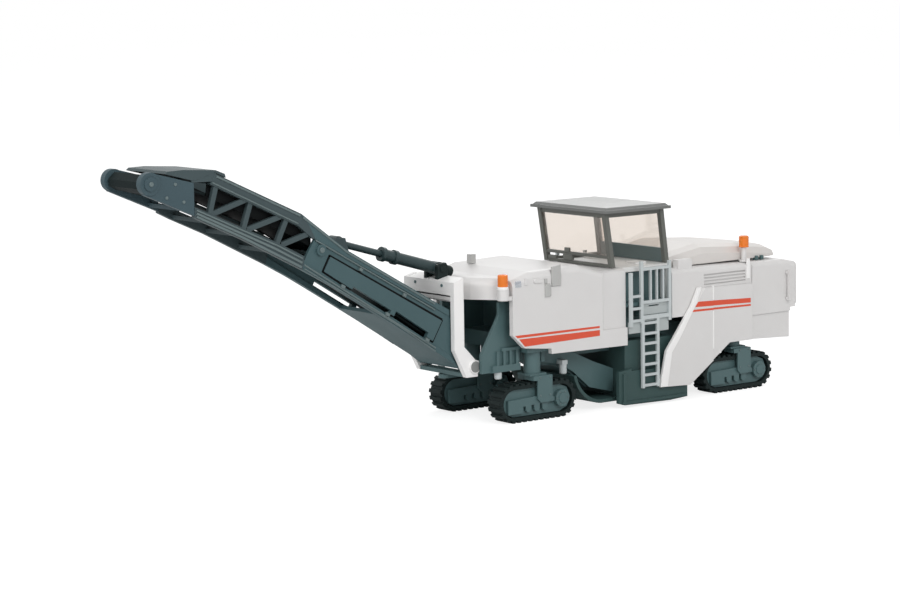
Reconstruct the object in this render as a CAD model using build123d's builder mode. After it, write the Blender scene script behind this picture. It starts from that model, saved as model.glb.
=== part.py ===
from build123d import *
import os
from math import atan2, cos, degrees, hypot, pi, radians, sin

# Scale model of a cold milling machine with a front discharge conveyor, millimetres.
# +X is forward (the conveyor's discharge end), +Y is the machine's left, +Z is up, ground is z = 0.
# Stations along X are given from the middle between the front and rear drive hubs.
# mid_x is where that middle stands, so that the whole model is centred on its origin.
mid_x = -46.35

# Running gear
wheelbase = 60.8            # front to rear drive hub
gauge = 21.6                # track centre to track centre
track_width = 4.25
track_height = 8.7
track_straight = 13.4       # between the centres of a track's two round ends
lug_height = 0.45
track_belt_thickness = 0.75
shoes_per_track = 32
hub_radius = 1.9
steer_fit = 0.08            # radial play of a column in its bore
column_radius = 1.9
column_out = 15.4           # height where a front column leaves the chassis
rear_column_out = 12.2

track_radius = track_height / 2
track_offset = track_straight / 2
front_track_x = wheelbase / 2 + track_offset
rear_track_x = -wheelbase / 2 + track_offset

# Body
body_half_width = 14.5
body_wall = 1.2
front_face_x = front_track_x + 8.2
front_body_rear_x = 12.0
rear_body_front_x = -1.6
rear_face_x = rear_track_x - 18.1
rear_step_x = rear_face_x + 0.8
nose_x = front_face_x + 6.3
nose_low = 27.7
front_top = 33.6
front_deck_top = 31.9
rear_top = 30.4

# Cab
cab_half_width = 12.0
roof_half_width = 13.4
roof_underside = 44.6
roof_thickness = 1.1
post_size = 1.15
cab_floor_top = 32.0

# Milling gear
drum_x = 4.0
drum_z = 6.6
drum_tip_radius = 5.7
drum_body_radius = 4.5
drum_half_length = 11.8
housing_side_y = 13.2

# Conveyor
conveyor_half_width = 7.5
plate_thickness = 0.8
slew_x = nose_x + 1.6        # vertical axis the conveyor swings about
foot_x = slew_x - 1.2        # cross axis the conveyor is lifted about
foot_z = 13.2
cylinder_base_x = slew_x + 2.2
cylinder_base_z = 34.6
cylinder_eye_x = foot_x + 30.3
cylinder_eye_z = foot_z + 29.2
ear_inner_y = 1.6
base_pin_radius = 0.55
eye_pin_radius = 0.45
eye_bore_radius = 0.95       # room for the eye to drift round its pin as the conveyor lifts

gap = 0.1                   # seat clearance between separate mouldings

# Swing pins: a tongue on the nose above, and one on the chassis below
tongue_radius = 1.5
tongue_thickness = 0.9
swing_pin_radius = 0.65
swing_fit = 0.08
tongue_clearance = 0.15
low_tongue_z = 9.9
high_tongue_z = 29.7

os.makedirs("parts", exist_ok=True)


# Drawing planes, all measured from the middle of the wheelbase
def side(y=0.0):
    """Side view at y: x forward, y up, and the normal points to the machine's right."""
    return Plane(origin=(mid_x, y, 0), x_dir=(1, 0, 0), z_dir=(0, -1, 0))


def level(z=0.0):
    """Plan view at height z: x forward, y to the left."""
    return Plane(origin=(mid_x, 0, z), x_dir=(1, 0, 0), z_dir=(0, 0, 1))


def across(x=0.0):
    """Front view at station x: x to the left, y up, and the normal points forward."""
    return Plane(origin=(mid_x + x, 0, 0), x_dir=(0, 1, 0), z_dir=(1, 0, 0))


def slab(points, y_from, y_to, mode=Mode.ADD):
    """A side view outline pulled from y_from to y_to, inside a part."""
    with BuildSketch(side(y_to)) as face:
        Polygon(*points, align=None)
    extrude(face.sketch, amount=y_to - y_from, dir=side().z_dir, mode=mode)


def both_slabs(points, y_from, y_to, mode=Mode.ADD):
    """The same slab on the left and on the right."""
    slab(points, y_from, y_to, mode)
    slab(points, -y_to, -y_from, mode)


def plate(points, z_from, z_to, mode=Mode.ADD):
    """A plan view outline pulled up from z_from to z_to, inside a part."""
    with BuildSketch(level(z_from)) as face:
        Polygon(*points, align=None)
    extrude(face.sketch, amount=z_to - z_from, dir=level().z_dir, mode=mode)


def block(x_from, x_to, y_from, y_to, z_from, z_to, mode=Mode.ADD):
    """A box between stations, inside a part."""
    corners = [(x_from, y_from), (x_to, y_from), (x_to, y_to), (x_from, y_to)]
    plate(corners, z_from, z_to, mode)


def both_blocks(x_from, x_to, y_from, y_to, z_from, z_to, mode=Mode.ADD):
    """The same box on the left and on the right."""
    block(x_from, x_to, y_from, y_to, z_from, z_to, mode)
    block(x_from, x_to, -y_to, -y_from, z_from, z_to, mode)


def crosswise_rod(x, z, radius, y_from, y_to, mode=Mode.ADD):
    """A round rod that lies across the machine, inside a part."""
    with BuildSketch(side(y_to)) as face:
        with Locations((x, z)):
            Circle(radius)
    extrude(face.sketch, amount=y_to - y_from, dir=side().z_dir, mode=mode)


def crosswise_prism(x, z, radius, sides, y_from, y_to):
    """A boss with flat sides that lies across the machine, inside a part; radius is to its flats."""
    with BuildSketch(side(y_to)) as face:
        with Locations((x, z)):
            RegularPolygon(radius, sides, major_radius=False, rotation=180 / sides)
    extrude(face.sketch, amount=y_to - y_from, dir=side().z_dir)


def upright_rod(x, y, radius, z_from, z_to, mode=Mode.ADD):
    """A round upright rod, inside a part."""
    with BuildSketch(level(z_from)) as face:
        with Locations((x, y)):
            Circle(radius)
    extrude(face.sketch, amount=z_to - z_from, dir=level().z_dir, mode=mode)


def keep(part, name):
    """Labels a finished piece and writes it out."""
    part.part.label = name
    export_step(part.part, "parts/" + name + ".step")


# Tracks: one fixed loop each, with the lugs of its shoes in the outline
belt_outer = track_radius - lug_height
belt_inner = belt_outer - track_belt_thickness
loop_length = 2 * track_straight + 2 * pi * belt_outer
shoe_pitch = loop_length / shoes_per_track
lug_length = shoe_pitch * 0.55


def loop_place(distance):
    """Place and turn of a shoe at a distance along the loop, from the front of the top run."""
    arc = pi * belt_outer
    if distance < track_straight:
        return (track_offset - distance, belt_outer, 90)
    distance = distance - track_straight
    if distance < arc:
        turn = 90 + degrees(distance / belt_outer)
        return (-track_offset + belt_outer * cos(radians(turn)), belt_outer * sin(radians(turn)), turn)
    distance = distance - arc
    if distance < track_straight:
        return (-track_offset + distance, -belt_outer, 270)
    turn = 270 + degrees((distance - track_straight) / belt_outer)
    return (track_offset + belt_outer * cos(radians(turn)), belt_outer * sin(radians(turn)), turn)


def make_track(x, y):
    with BuildPart() as track:
        with BuildSketch(side(y + track_width / 2)):
            with Locations((x, track_radius)):
                SlotCenterToCenter(track_straight, 2 * belt_outer)
                for shoe in range(shoes_per_track):
                    along, up, turn = loop_place((shoe + 0.5) * shoe_pitch)
                    with Locations(Location((along, up, 0), (0, 0, turn))):
                        Rectangle(2 * lug_height, lug_length)
                SlotCenterToCenter(track_straight, 2 * track_radius, mode=Mode.INTERSECT)
                SlotCenterToCenter(track_straight, 2 * belt_inner, mode=Mode.SUBTRACT)
        extrude(amount=track_width)
    return track


# Track frames: the web inside the loop, the stepped block with its rollers and the drive hub
frame_half_width = track_width / 2 + 0.15
web_half_width = track_width / 2 - 0.7
roller_radius = 0.75
roller_stations = (-1.8, 0.5, 2.9)
block_front = 8.6
block_low = 2.05
block_high = 5.5


def web_outline(x):
    """Outline of the web inside a track's loop, its ends cut to flats that follow the loop."""
    reach = belt_inner - gap
    ends = [(track_offset, turn) for turn in range(-90, 91, 45)]
    ends = ends + [(-track_offset, turn) for turn in range(90, 271, 45)]
    return [
        (x + centre + reach * cos(radians(turn)), track_radius + reach * sin(radians(turn)))
        for centre, turn in ends
    ]


def make_track_frame(x, y):
    with BuildPart() as frame:
        with BuildSketch(side(y + web_half_width)):
            Polygon(*web_outline(x), align=None)
        extrude(amount=2 * web_half_width)
        for near in (1, -1):
            face = y + near * frame_half_width
            inner = y + near * (web_half_width - 0.2)
            low_y, high_y = min(face, inner), max(face, inner)
            slab(
                [
                    (x + block_front, block_low),
                    (x + block_front, block_high - 0.3),
                    (x + 1.2, block_high),
                    (x - 4.6, block_high - 0.6),
                    (x - 4.6, block_low + 1.9),
                    (x + 4.4, block_low + 1.5),
                    (x + 4.4, block_low),
                ],
                low_y,
                high_y,
            )
            for station in roller_stations:
                slab(
                    [
                        (x + station - 0.8, block_low + 1.0),
                        (x + station + 0.8, block_low + 1.0),
                        (x + station + 0.8, block_low + 1.9),
                        (x + station - 0.8, block_low + 1.9),
                    ],
                    low_y,
                    high_y,
                )
                crosswise_prism(x + station, block_low + 0.85, roller_radius, 8, low_y, high_y)
            hub_face = face + near * 0.3
            hub_x = x - track_offset
            hub_y = (min(hub_face, inner), max(hub_face, inner))
            crosswise_prism(hub_x, track_radius, hub_radius, 12, *hub_y)
            cap_face = hub_face + near * 0.2
            cap_y = (min(hub_face, cap_face), max(hub_face, cap_face))
            crosswise_prism(hub_x, track_radius, hub_radius - 0.8, 8, *cap_y)
    return frame


# Legs: a round column that turns in the chassis, over a fork astride its track
fork_clearance = 0.1
fork_thickness = 0.45
fork_half_width = frame_half_width + fork_clearance + fork_thickness
fork_rear = -3.6
fork_front = 0.6
bridge_low = track_height + 0.35
bridge_high = bridge_low + 1.0
fork_low = 4.0
column_socket_depth = 2.6


def make_leg(x, y, out_height):
    with BuildPart() as leg:
        with BuildSketch(level(bridge_low)):
            with Locations((x - 0.9, y)):
                Rectangle(5.4, 2 * fork_half_width)
        extrude(amount=bridge_high - bridge_low)
        for near in (1, -1):
            outer = y + near * fork_half_width
            inner = y + near * (fork_half_width - fork_thickness)
            slab(
                [
                    (x + fork_rear, bridge_high),
                    (x + fork_rear, fork_low + 0.9),
                    (x + fork_rear + 0.9, fork_low),
                    (x + fork_front - 0.9, fork_low),
                    (x + fork_front, fork_low + 0.9),
                    (x + fork_front, bridge_high),
                ],
                min(outer, inner),
                max(outer, inner),
            )
        block(x - 2.3, x + 2.3, y - 2.3, y + 2.3, bridge_high, bridge_high + 0.5)
        with BuildSketch(level(bridge_low)):
            with Locations((x, y)):
                Circle(column_radius)
        extrude(amount=out_height + column_socket_depth - bridge_low)
    return leg


units = [
    # name, station, side, height where the column leaves the chassis
    ("front_left", front_track_x, 1, column_out),
    ("front_right", front_track_x, -1, column_out),
    ("rear_left", rear_track_x, 1, rear_column_out),
    ("rear_right", rear_track_x, -1, rear_column_out),
]

for unit_name, station, hand, out_height in units:
    track_y = hand * gauge / 2
    keep(make_track(station, track_y), "track_" + unit_name)
    keep(make_track_frame(station, track_y), "track_frame_" + unit_name)
    keep(make_leg(station, track_y, out_height), "leg_" + unit_name)


# Chassis: two long rails, the cross heads that take the columns, and the front gussets
rail_inner_y = 5.2
rail_outer_y = 7.6
rail_low = 12.6
rail_high = 17.4
head_length = 6.4
head_half_width = body_half_width - body_wall - gap
gusset_inner_y = 9.9            # clear of the yoke's bosses when it swings
gusset_outer_y = 10.8
gusset_low = 11.6
bulkhead_x = front_track_x - 3.7
gusset_rear_x = front_track_x + 3.5
gusset_front_x = slew_x - 2.0
cross_front_x = slew_x - 6.0    # behind the swing of the yoke's foot
bulkhead_top = 27.0

with BuildPart() as chassis:
    both_blocks(rear_track_x - 13.3, front_track_x, rail_inner_y, rail_outer_y, rail_low, rail_high)
    for head_x, head_low in ((front_track_x, column_out), (rear_track_x, rear_column_out)):
        block(
            head_x - head_length / 2,
            head_x + head_length / 2,
            -head_half_width,
            head_half_width,
            head_low,
            head_low + 3.4,
        )
    block(bulkhead_x, bulkhead_x + 1.0, -gusset_outer_y, gusset_outer_y, rail_low, bulkhead_top)
    gusset = [
        (bulkhead_x, rail_high),
        (bulkhead_x, bulkhead_top),
        (gusset_front_x - 5.0, bulkhead_top),
        (gusset_front_x - 5.0, 24.2),
        (gusset_front_x, 15.8),
        (gusset_front_x, gusset_low),
        (gusset_rear_x, gusset_low),
        (gusset_rear_x, column_out + 1.0),
    ]
    both_slabs(gusset, gusset_inner_y, gusset_outer_y)
    block(gusset_rear_x + 2.6, cross_front_x, -gusset_outer_y, gusset_outer_y, gusset_low, gusset_low + 1.2)
    # tongue for the yoke's lower swing pin
    tongue_rear_x = gusset_rear_x + 3.4
    block(tongue_rear_x, slew_x, -tongue_radius, tongue_radius, low_tongue_z,
          low_tongue_z + tongue_thickness)
    block(tongue_rear_x, cross_front_x, -tongue_radius, tongue_radius, low_tongue_z, gusset_low + 0.2)
    upright_rod(slew_x, 0, tongue_radius, low_tongue_z, low_tongue_z + tongue_thickness)
    low_bore = (slew_x, 0, swing_pin_radius + swing_fit, low_tongue_z - 1, low_tongue_z + 2)
    upright_rod(*low_bore, Mode.SUBTRACT)
    rib_y = (gusset_outer_y, gusset_outer_y + 0.6)
    band_top = gusset_low + 1.5
    for rib in range(4):
        rib_x = gusset_rear_x + 0.8 + rib * 1.8
        both_blocks(rib_x, rib_x + 0.6, *rib_y, band_top, 16.2)
    both_blocks(gusset_rear_x + 0.2, gusset_front_x - 2.6, *rib_y, gusset_low, band_top)
    both_blocks(gusset_rear_x + 0.2, gusset_front_x - 5.2, *rib_y, 16.2, 16.9)
    for head_x, head_low in ((front_track_x, column_out), (rear_track_x, rear_column_out)):
        for hand in (1, -1):
            bore_top = head_low + column_socket_depth + gap
            bore_radius = column_radius + steer_fit
            upright_rod(head_x, hand * gauge / 2, bore_radius, head_low - 1, bore_top, Mode.SUBTRACT)
keep(chassis, "chassis_frame")


# Front body: a white moulded shell, open below and at the front between its side walls
front_profile = [
    # station, height
    (front_body_rear_x, 14.5),
    (front_face_x - 11.0, 14.8),
    (front_face_x - 10.9, 16.0),
    (front_face_x - 3.3, 16.8),
    (front_face_x, 19.9),
    (front_face_x, 32.0),
    (front_face_x - 5.3, front_top),
    (front_face_x - 19.3, front_top + 0.4),
    (front_body_rear_x + 6.8, front_deck_top),
    (front_body_rear_x, front_deck_top),
]
inner_half_width = body_half_width - body_wall
front_roof_low = 28.6
side_panel_rear_x = front_body_rear_x + 6.7
side_panel_low = 18.6
side_panel_step = 0.6

with BuildPart() as front_body:
    slab(front_profile, -body_half_width, body_half_width)
    top_sides = front_body.edges().filter_by(Axis.Y, reverse=True)
    top_sides = top_sides.filter_by(lambda edge: edge.center().Z > 31.0)
    top_sides = top_sides.filter_by(lambda edge: abs(abs(edge.center().Y) - body_half_width) < 0.01)
    fillet(top_sides, radius=1.6)
    inside = (-inner_half_width, inner_half_width, 10, front_roof_low)
    block(front_body_rear_x + body_wall, front_face_x + 5, *inside, Mode.SUBTRACT)
    rail_cut = (rail_inner_y - gap, rail_outer_y + gap, rail_low - 3, rail_high + gap)
    both_blocks(front_body_rear_x - 1, front_body_rear_x + body_wall + 1, *rail_cut, Mode.SUBTRACT)
    # the side panel ends in a bevelled edge, and the wall behind it is set in
    for hand in (1, -1):
        set_in = [
            (front_body_rear_x - 1, hand * (body_half_width - side_panel_step)),
            (side_panel_rear_x, hand * (body_half_width - side_panel_step)),
            (side_panel_rear_x + side_panel_step, hand * (body_half_width + 0.01)),
            (side_panel_rear_x + side_panel_step, hand * (body_half_width + 5)),
            (front_body_rear_x - 1, hand * (body_half_width + 5)),
        ]
        plate(set_in, side_panel_low, front_top + 5, Mode.SUBTRACT)
    # filler notch in the top edge
    both_blocks(front_face_x - 13.9, front_face_x - 11.0, body_half_width - 0.7, 20, 30.5, 40,
                Mode.SUBTRACT)
keep(front_body, "front_body")

# Front nose: the low hood ahead of the body, cut back at both corners in plan
nose_plan = [
    (front_face_x + gap, inner_half_width),
    (nose_x - 0.9, 6.4),
    (nose_x, 4.6),
    (nose_x, -4.6),
    (nose_x - 0.9, -6.4),
    (front_face_x + gap, -inner_half_width),
]
with BuildPart() as front_nose:
    plate(nose_plan, nose_low, 32.6)
    top_rim = front_nose.edges().filter_by(lambda edge: edge.center().Z > 32.5)
    top_rim = top_rim.filter_by(lambda edge: edge.center().X > mid_x + front_face_x + 0.5)
    fillet(top_rim, radius=2.0)
    block(nose_x - 1, slew_x, -tongue_radius, tongue_radius, high_tongue_z,
          high_tongue_z + tongue_thickness)
    upright_rod(slew_x, 0, tongue_radius, high_tongue_z, high_tongue_z + tongue_thickness)
    high_bore = (slew_x, 0, swing_pin_radius + swing_fit, high_tongue_z - 1, high_tongue_z + 2)
    upright_rod(*high_bore, Mode.SUBTRACT)
keep(front_nose, "front_nose")

# Rear body: shell with the engine bay, stepped down behind
panel_seam_x = rear_face_x + 15.1
panel_step_z = 17.7
panel_inset = 0.45
groove = 0.25
louvre_rear_x = panel_seam_x + 1.9
louvre_front_x = rear_body_front_x - 10.0
louvre_low = 26.2
louvre_pitch = 0.75
louvre_depth = 0.45
louvre_count = 3
battery_front_x = rear_body_front_x - 2.3
rear_profile = [
    (rear_body_front_x, 19.5),
    (rear_body_front_x - 7.0, 19.5),
    (rear_body_front_x - 11.0, 12.4),
    (panel_seam_x, 12.0),
    (rear_step_x + 1.6, 11.4),
    (rear_step_x + 1.6, 18.6),
    (rear_step_x, 18.6),
    (rear_step_x, 29.4),
    (rear_step_x + 3.0, rear_top - 0.3),
    (rear_body_front_x, rear_top + 0.4),
]
with BuildPart() as rear_body:
    slab(rear_profile, -body_half_width, body_half_width)
    top_sides = rear_body.edges().filter_by(Axis.Y, reverse=True)
    top_sides = top_sides.filter_by(lambda edge: edge.center().Z > 29.0)
    top_sides = top_sides.filter_by(lambda edge: abs(abs(edge.center().Y) - body_half_width) < 0.01)
    fillet(top_sides, radius=1.2)
    block(rear_step_x + 3.0, rear_body_front_x - body_wall, -inner_half_width, inner_half_width, 10,
          27.6, Mode.SUBTRACT)
    # louvre recess in each side, above the stripe panel
    louvre_box = (louvre_rear_x, louvre_front_x, body_half_width - louvre_depth)
    both_blocks(*louvre_box, body_half_width + 1, louvre_low, louvre_low + 2.5, Mode.SUBTRACT)
    for louvre in range(louvre_count):
        low = louvre_low + 0.25 + louvre * louvre_pitch
        both_blocks(*louvre_box, body_half_width - 0.1, low, low + louvre_pitch / 2)
    # service panel behind the seam: a groove down the side and a lower part set in
    both_blocks(panel_seam_x - groove, panel_seam_x, body_half_width - groove, 20, 5, 40, Mode.SUBTRACT)
    both_blocks(rear_face_x - 5, panel_seam_x - groove, body_half_width - panel_inset, 20, 5,
                panel_step_z, Mode.SUBTRACT)
    # battery boxes on the top, beside the hood
    box_y = (body_half_width - 2.3, body_half_width - 0.4)
    both_blocks(battery_front_x - 4.3, battery_front_x, *box_y, rear_top - 0.5, rear_top + 2.2)
keep(rear_body, "rear_body")

# Rear door: the shallow panel that closes the back
with BuildPart() as rear_door:
    with BuildSketch(across(rear_face_x)):
        with Locations((0, 24.0)):
            RectangleRounded(2 * body_half_width - 0.8, 10.6, 1.2)
    extrude(amount=rear_step_x - gap - rear_face_x)
    for bar in range(4):
        low = 20.4 + bar * 2.1
        block(rear_face_x - 0.25, rear_face_x + 0.1, -10.5, 10.5, low, low + 0.8)
keep(rear_door, "rear_door")

# Engine hood on the rear body
hood_low = rear_top + 0.45
hood_sections = [
    # station, half width, crown height
    (rear_body_front_x - 1.8, body_half_width - 2.9, 33.9),
    (rear_body_front_x - 11.9, body_half_width - 2.5, 35.6),
    (rear_face_x + 14.8, body_half_width - 2.7, 34.8),
    (rear_face_x + 6.3, body_half_width - 3.3, 33.7),
    (rear_face_x + 4.2, body_half_width - 3.9, 32.6),
]
with BuildPart() as engine_hood:
    for station, half_width, crown in hood_sections:
        rise = crown - hood_low
        corner = min(2.4, rise * 0.8)
        with BuildSketch(across(station)):
            with BuildLine():
                left_foot = Line((half_width, hood_low), (half_width, crown - corner))
                left_turn = Line(left_foot @ 1, (half_width - corner * 0.35, crown - corner * 0.4))
                left_slope = Line(left_turn @ 1, (half_width - corner * 1.3, crown - 0.25))
                top = ThreePointArc(left_slope @ 1, (0, crown), (-half_width + corner * 1.3, crown - 0.25))
                right_slope = Line(top @ 1, (-half_width + corner * 0.35, crown - corner * 0.4))
                right_turn = Line(right_slope @ 1, (-half_width, crown - corner))
                right_foot = Line(right_turn @ 1, (-half_width, hood_low))
                Line(right_foot @ 1, left_foot @ 0)
            make_face()
    loft(ruled=True)
keep(engine_hood, "engine_hood")

# Side skirts: the slanted panels over the drum, carrying the rear stripe
skirt_inner_y = body_half_width + gap
skirt_outer_y = body_half_width + 0.9
skirt_seam_x = rear_body_front_x - 12.1
skirt_step = 0.3
skirt_outline = [
    (2.3, 3.9),
    (1.0, 11.1),
    (-10.6, 25.7),
    (panel_seam_x + 0.2, 25.4),
    (panel_seam_x + 0.2, 12.1),
    (-19.2, 12.1),
    (-6.4, 3.5),
]
for hand, name in ((1, "left"), (-1, "right")):
    y_low, y_high = sorted((hand * skirt_inner_y, hand * skirt_outer_y))
    with BuildPart() as side_skirt:
        slab(skirt_outline, y_low, y_high)
        front_edges = side_skirt.edges().filter_by(
            lambda edge: abs(edge.center().Y - hand * skirt_outer_y) < 0.01
            and edge.center().X > mid_x - 5.0
            and edge.center().Z > 4.2
        )
        chamfer(front_edges, length=0.5)
        # the rear part behind the seam is set in
        rear_y = sorted((hand * (skirt_outer_y - skirt_step), hand * (skirt_outer_y + 1)))
        block(-30, skirt_seam_x, rear_y[0], rear_y[1], 0, 40, Mode.SUBTRACT)
    keep(side_skirt, "side_skirt_" + name)


# Power block: the engine and tanks, one plain mass inside the bodies
with BuildPart() as power_block:
    engine_rear_x = rear_face_x + 5.8
    block(engine_rear_x, rear_body_front_x - 7.8, -4.9, 4.9, rear_column_out + 3.6, 26.5)
    tank_y = (4.9, inner_half_width - 0.7)
    both_blocks(engine_rear_x, rear_body_front_x - 13.4, *tank_y, rail_high + 0.3, 26.5)
keep(power_block, "engine_block")

# Drum housing: the box over the milling drum, with a side plate at each end
housing_front_x = 11.8
housing_rear_x = -6.0
housing_top = 15.2
shield_outer_y = housing_side_y + 1.1
housing_wall = 0.9

with BuildPart() as drum_housing:
    # chamber roof and its two end walls, carried by the rails
    roof = [
        (housing_rear_x, 1.4),
        (housing_rear_x, 10.5),
        (housing_rear_x + 3.5, housing_top),
        (housing_front_x, housing_top),
        (housing_front_x, 1.9),
        (housing_front_x - housing_wall, 1.9),
        (housing_front_x - housing_wall, housing_top - 2.8),
        (housing_rear_x + 3.9, housing_top - 2.8),
        (housing_rear_x + housing_wall, 9.4),
        (housing_rear_x + housing_wall, 1.4),
    ]
    slab(roof, -housing_side_y, housing_side_y)
    end_wall = [
        (housing_rear_x, 1.4),
        (housing_rear_x, 10.5),
        (housing_rear_x + 3.5, housing_top),
        (housing_front_x, housing_top),
        (housing_front_x, 1.9),
    ]
    both_slabs(end_wall, housing_side_y - housing_wall, housing_side_y)
    rail_cut = (rail_inner_y - gap, rail_outer_y + gap, rail_low - gap, rail_high)
    both_blocks(housing_rear_x - 1, housing_front_x + 1, *rail_cut, Mode.SUBTRACT)
    for hand in (1, -1):
        pin_y = sorted((hand * (drum_half_length + 0.3), hand * (housing_side_y - housing_wall)))
        crosswise_prism(drum_x, drum_z, 1.1, 8, pin_y[0], pin_y[1])
keep(drum_housing, "drum_housing")

# Side shields: the plates that slide on the ground beside the drum
shield_outline = [
    (14.5, 1.2),
    (14.5, 8.5),
    (10.6, 8.9),
    (10.6, 8.4),
    (-6.4, 8.0),
    (-6.4, 0.7),
    (-1.0, 0.4),
    (12.8, 0.7),
]
for hand, name in ((1, "left"), (-1, "right")):
    y_low, y_high = sorted((hand * (housing_side_y + gap), hand * shield_outer_y))
    with BuildPart() as side_shield:
        slab(shield_outline, y_low, y_high)
        rib_y = sorted((hand * shield_outer_y, hand * (shield_outer_y + 0.35)))
        block(-5.8, 13.6, rib_y[0], rib_y[1], 0.9, 1.5)
        block(12.6, 13.4, rib_y[0], rib_y[1], 1.5, 7.9)
    keep(side_shield, "side_shield_" + name)

# Milling drum: a tube with two helical bands of picks that feed towards the middle
pick_rows = 12
drum_flats = 20
pick_half_width = 0.32
pick_outline = [
    # distance from the drum's axis, place along its rim
    (drum_body_radius - 0.3, -0.5),
    (drum_body_radius - 0.3, 0.4),
    (drum_tip_radius, 0.6),
    (drum_tip_radius, 0.3),
]


def on_drum(outward, along, turn):
    """Station and height of a point of a pick, on the side of the drum that faces the turn."""
    turn = radians(turn)
    return (
        drum_x + outward * cos(turn) - along * sin(turn),
        drum_z + outward * sin(turn) + along * cos(turn),
    )


with BuildPart() as milling_drum:
    # the tube has a flat for each place round it where a pick can stand
    crosswise_prism(drum_x, drum_z, drum_body_radius, drum_flats, -drum_half_length, drum_half_length)
    for end in (1, -1):
        rim_y = sorted((end * drum_half_length, end * (drum_half_length - 0.8)))
        crosswise_prism(drum_x, drum_z, drum_body_radius + 0.5, drum_flats, rim_y[0], rim_y[1])
    for row in range(pick_rows):
        for end in (1, -1):
            pick_y = end * (0.8 + row * (drum_half_length - 2.0) / pick_rows)
            for start in range(2):
                turn = 180 * start + row * 2 * 360 / drum_flats
                pick = [on_drum(outward, along, turn) for outward, along in pick_outline]
                slab(pick, pick_y - pick_half_width, pick_y + pick_half_width)
keep(milling_drum, "milling_drum")

# Front apron: the curved scraper plate that closes the chamber towards the feed
apron_half_width = 11.6
apron_thickness = 0.8
with BuildPart() as front_apron:
    with BuildSketch(side(apron_half_width)) as face:
        with BuildLine():
            flat = Line((housing_front_x + gap, 2.3), (17.6, 2.3))
            ThreePointArc(flat @ 1, (22.4, 4.4), (24.8, 8.6))
            offset(amount=apron_thickness, side=Side.RIGHT, closed=True)
        make_face()
    extrude(amount=2 * apron_half_width)
keep(front_apron, "front_apron")

# Feed arms: the curved side arms of the pick-up conveyor housing
arm_inner_y = 8.0
arm_outer_y = 9.2
arm_front_x = bulkhead_x - 0.4
arm_outline_top = [(arm_front_x, 15.2), (29.0, 15.0), (23.4, 13.4), (18.0, 10.9),
                   (housing_front_x + gap, 8.6)]
arm_outline_low = [(housing_front_x + gap, 3.2), (19.0, 5.0), (24.0, 9.2), (28.0, 11.4),
                   (arm_front_x, 12.2)]
with BuildPart() as feed_housing:
    both_slabs(arm_outline_top + arm_outline_low, arm_inner_y, arm_outer_y)
    floor = [
        (arm_front_x, 11.5),
        (28.0, 10.8),
        (24.0, 8.7),
        (19.0, 4.8),
        (19.0, 5.7),
        (23.7, 9.5),
        (27.8, 11.7),
        (arm_front_x, 12.4),
    ]
    slab(floor, -arm_inner_y, arm_inner_y)
keep(feed_housing, "feed_housing")


# Deck: the walkway between the two bodies, with a step well on each side
deck_z = 24.0
deck_thickness = 0.9
bay_front_x = front_body_rear_x - gap
bay_rear_x = rear_body_front_x + gap
bay_wall_y = 10.4
with BuildPart() as deck:
    block(bay_rear_x, bay_front_x, -body_half_width + 0.4, body_half_width - 0.4,
          deck_z - deck_thickness, deck_z)
    # dark inner walls under and above the walkway
    both_blocks(bay_rear_x, bay_front_x, bay_wall_y - 1.0, bay_wall_y, housing_top + gap,
                deck_z - deck_thickness)
    both_blocks(bay_rear_x, bay_front_x, bay_wall_y - 1.0, bay_wall_y, deck_z, cab_floor_top - 1.4 - gap)
    # toolbox and step box below the walkway
    both_blocks(2.2, 7.4, bay_wall_y, body_half_width - 0.6, deck_z - 3.2, deck_z - deck_thickness)
keep(deck, "deck")

# Ladders: two flat rails with rungs, hung from the deck edge, and the rail gate above
ladder_front_x = 7.8
ladder_rear_x = 3.3
ladder_rail = 0.75
ladder_low = 4.2
ladder_inner_y = body_half_width + 0.1
ladder_outer_y = ladder_inner_y + 0.6
rung_heights = (4.5, 6.9, 9.3, 11.8, 14.1, 16.4, 18.8)
for hand, name in ((1, "left"), (-1, "right")):
    y_low, y_high = sorted((hand * ladder_inner_y, hand * ladder_outer_y))
    with BuildPart() as ladder:
        for rail_x in (ladder_front_x, ladder_rear_x):
            block(rail_x - ladder_rail / 2, rail_x + ladder_rail / 2, y_low, y_high, ladder_low, 20.6)
        for rung_z in rung_heights:
            block(ladder_rear_x, ladder_front_x, y_low, y_high, rung_z, rung_z + 0.6)
        # the gate: long front and rear stanchions with a top bar and thin uprights
        for post_x, post_top in ((ladder_front_x + 0.3, 33.4), (-0.4, 33.0)):
            block(post_x - 0.4, post_x + 0.4, y_low, y_high, 19.2, post_top)
        block(-0.4, ladder_front_x + 0.3, y_low, y_high, 31.2, 31.9)
        block(-0.4, ladder_front_x + 0.3, y_low, y_high, 23.6, 24.3)
        block(-0.4, ladder_front_x + 0.3, y_low, y_high, 20.0, 20.9)
        for bar_x in (1.6, 3.5, 5.4):
            block(bar_x - 0.22, bar_x + 0.22, y_low, y_high, 24.0, 31.4)
        # steps beside the gate, set against the front body's end
        block(10.9, 11.7, y_low, y_high, 18.6, 31.0)
        for step_z in (19.6, 22.4, 25.2):
            block(ladder_front_x, 11.4, y_low, y_high, step_z, step_z + 0.6)
        # tabs that hang the ladder on the deck
        tab_y = sorted((hand * (body_half_width - 0.4 + gap), hand * ladder_inner_y))
        block(0.6, 7.0, tab_y[0], tab_y[1], deck_z - deck_thickness, deck_z)
    keep(ladder, "ladder_" + name)

# Cab: its front posts stand behind the front body's top, its rear posts ahead of the hood
front_post_low_x = front_body_rear_x + 1.9
front_post_high_x = front_post_low_x + 2.0
rear_post_low_x = rear_body_front_x - 0.8
rear_post_high_x = rear_post_low_x + 1.6

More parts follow.
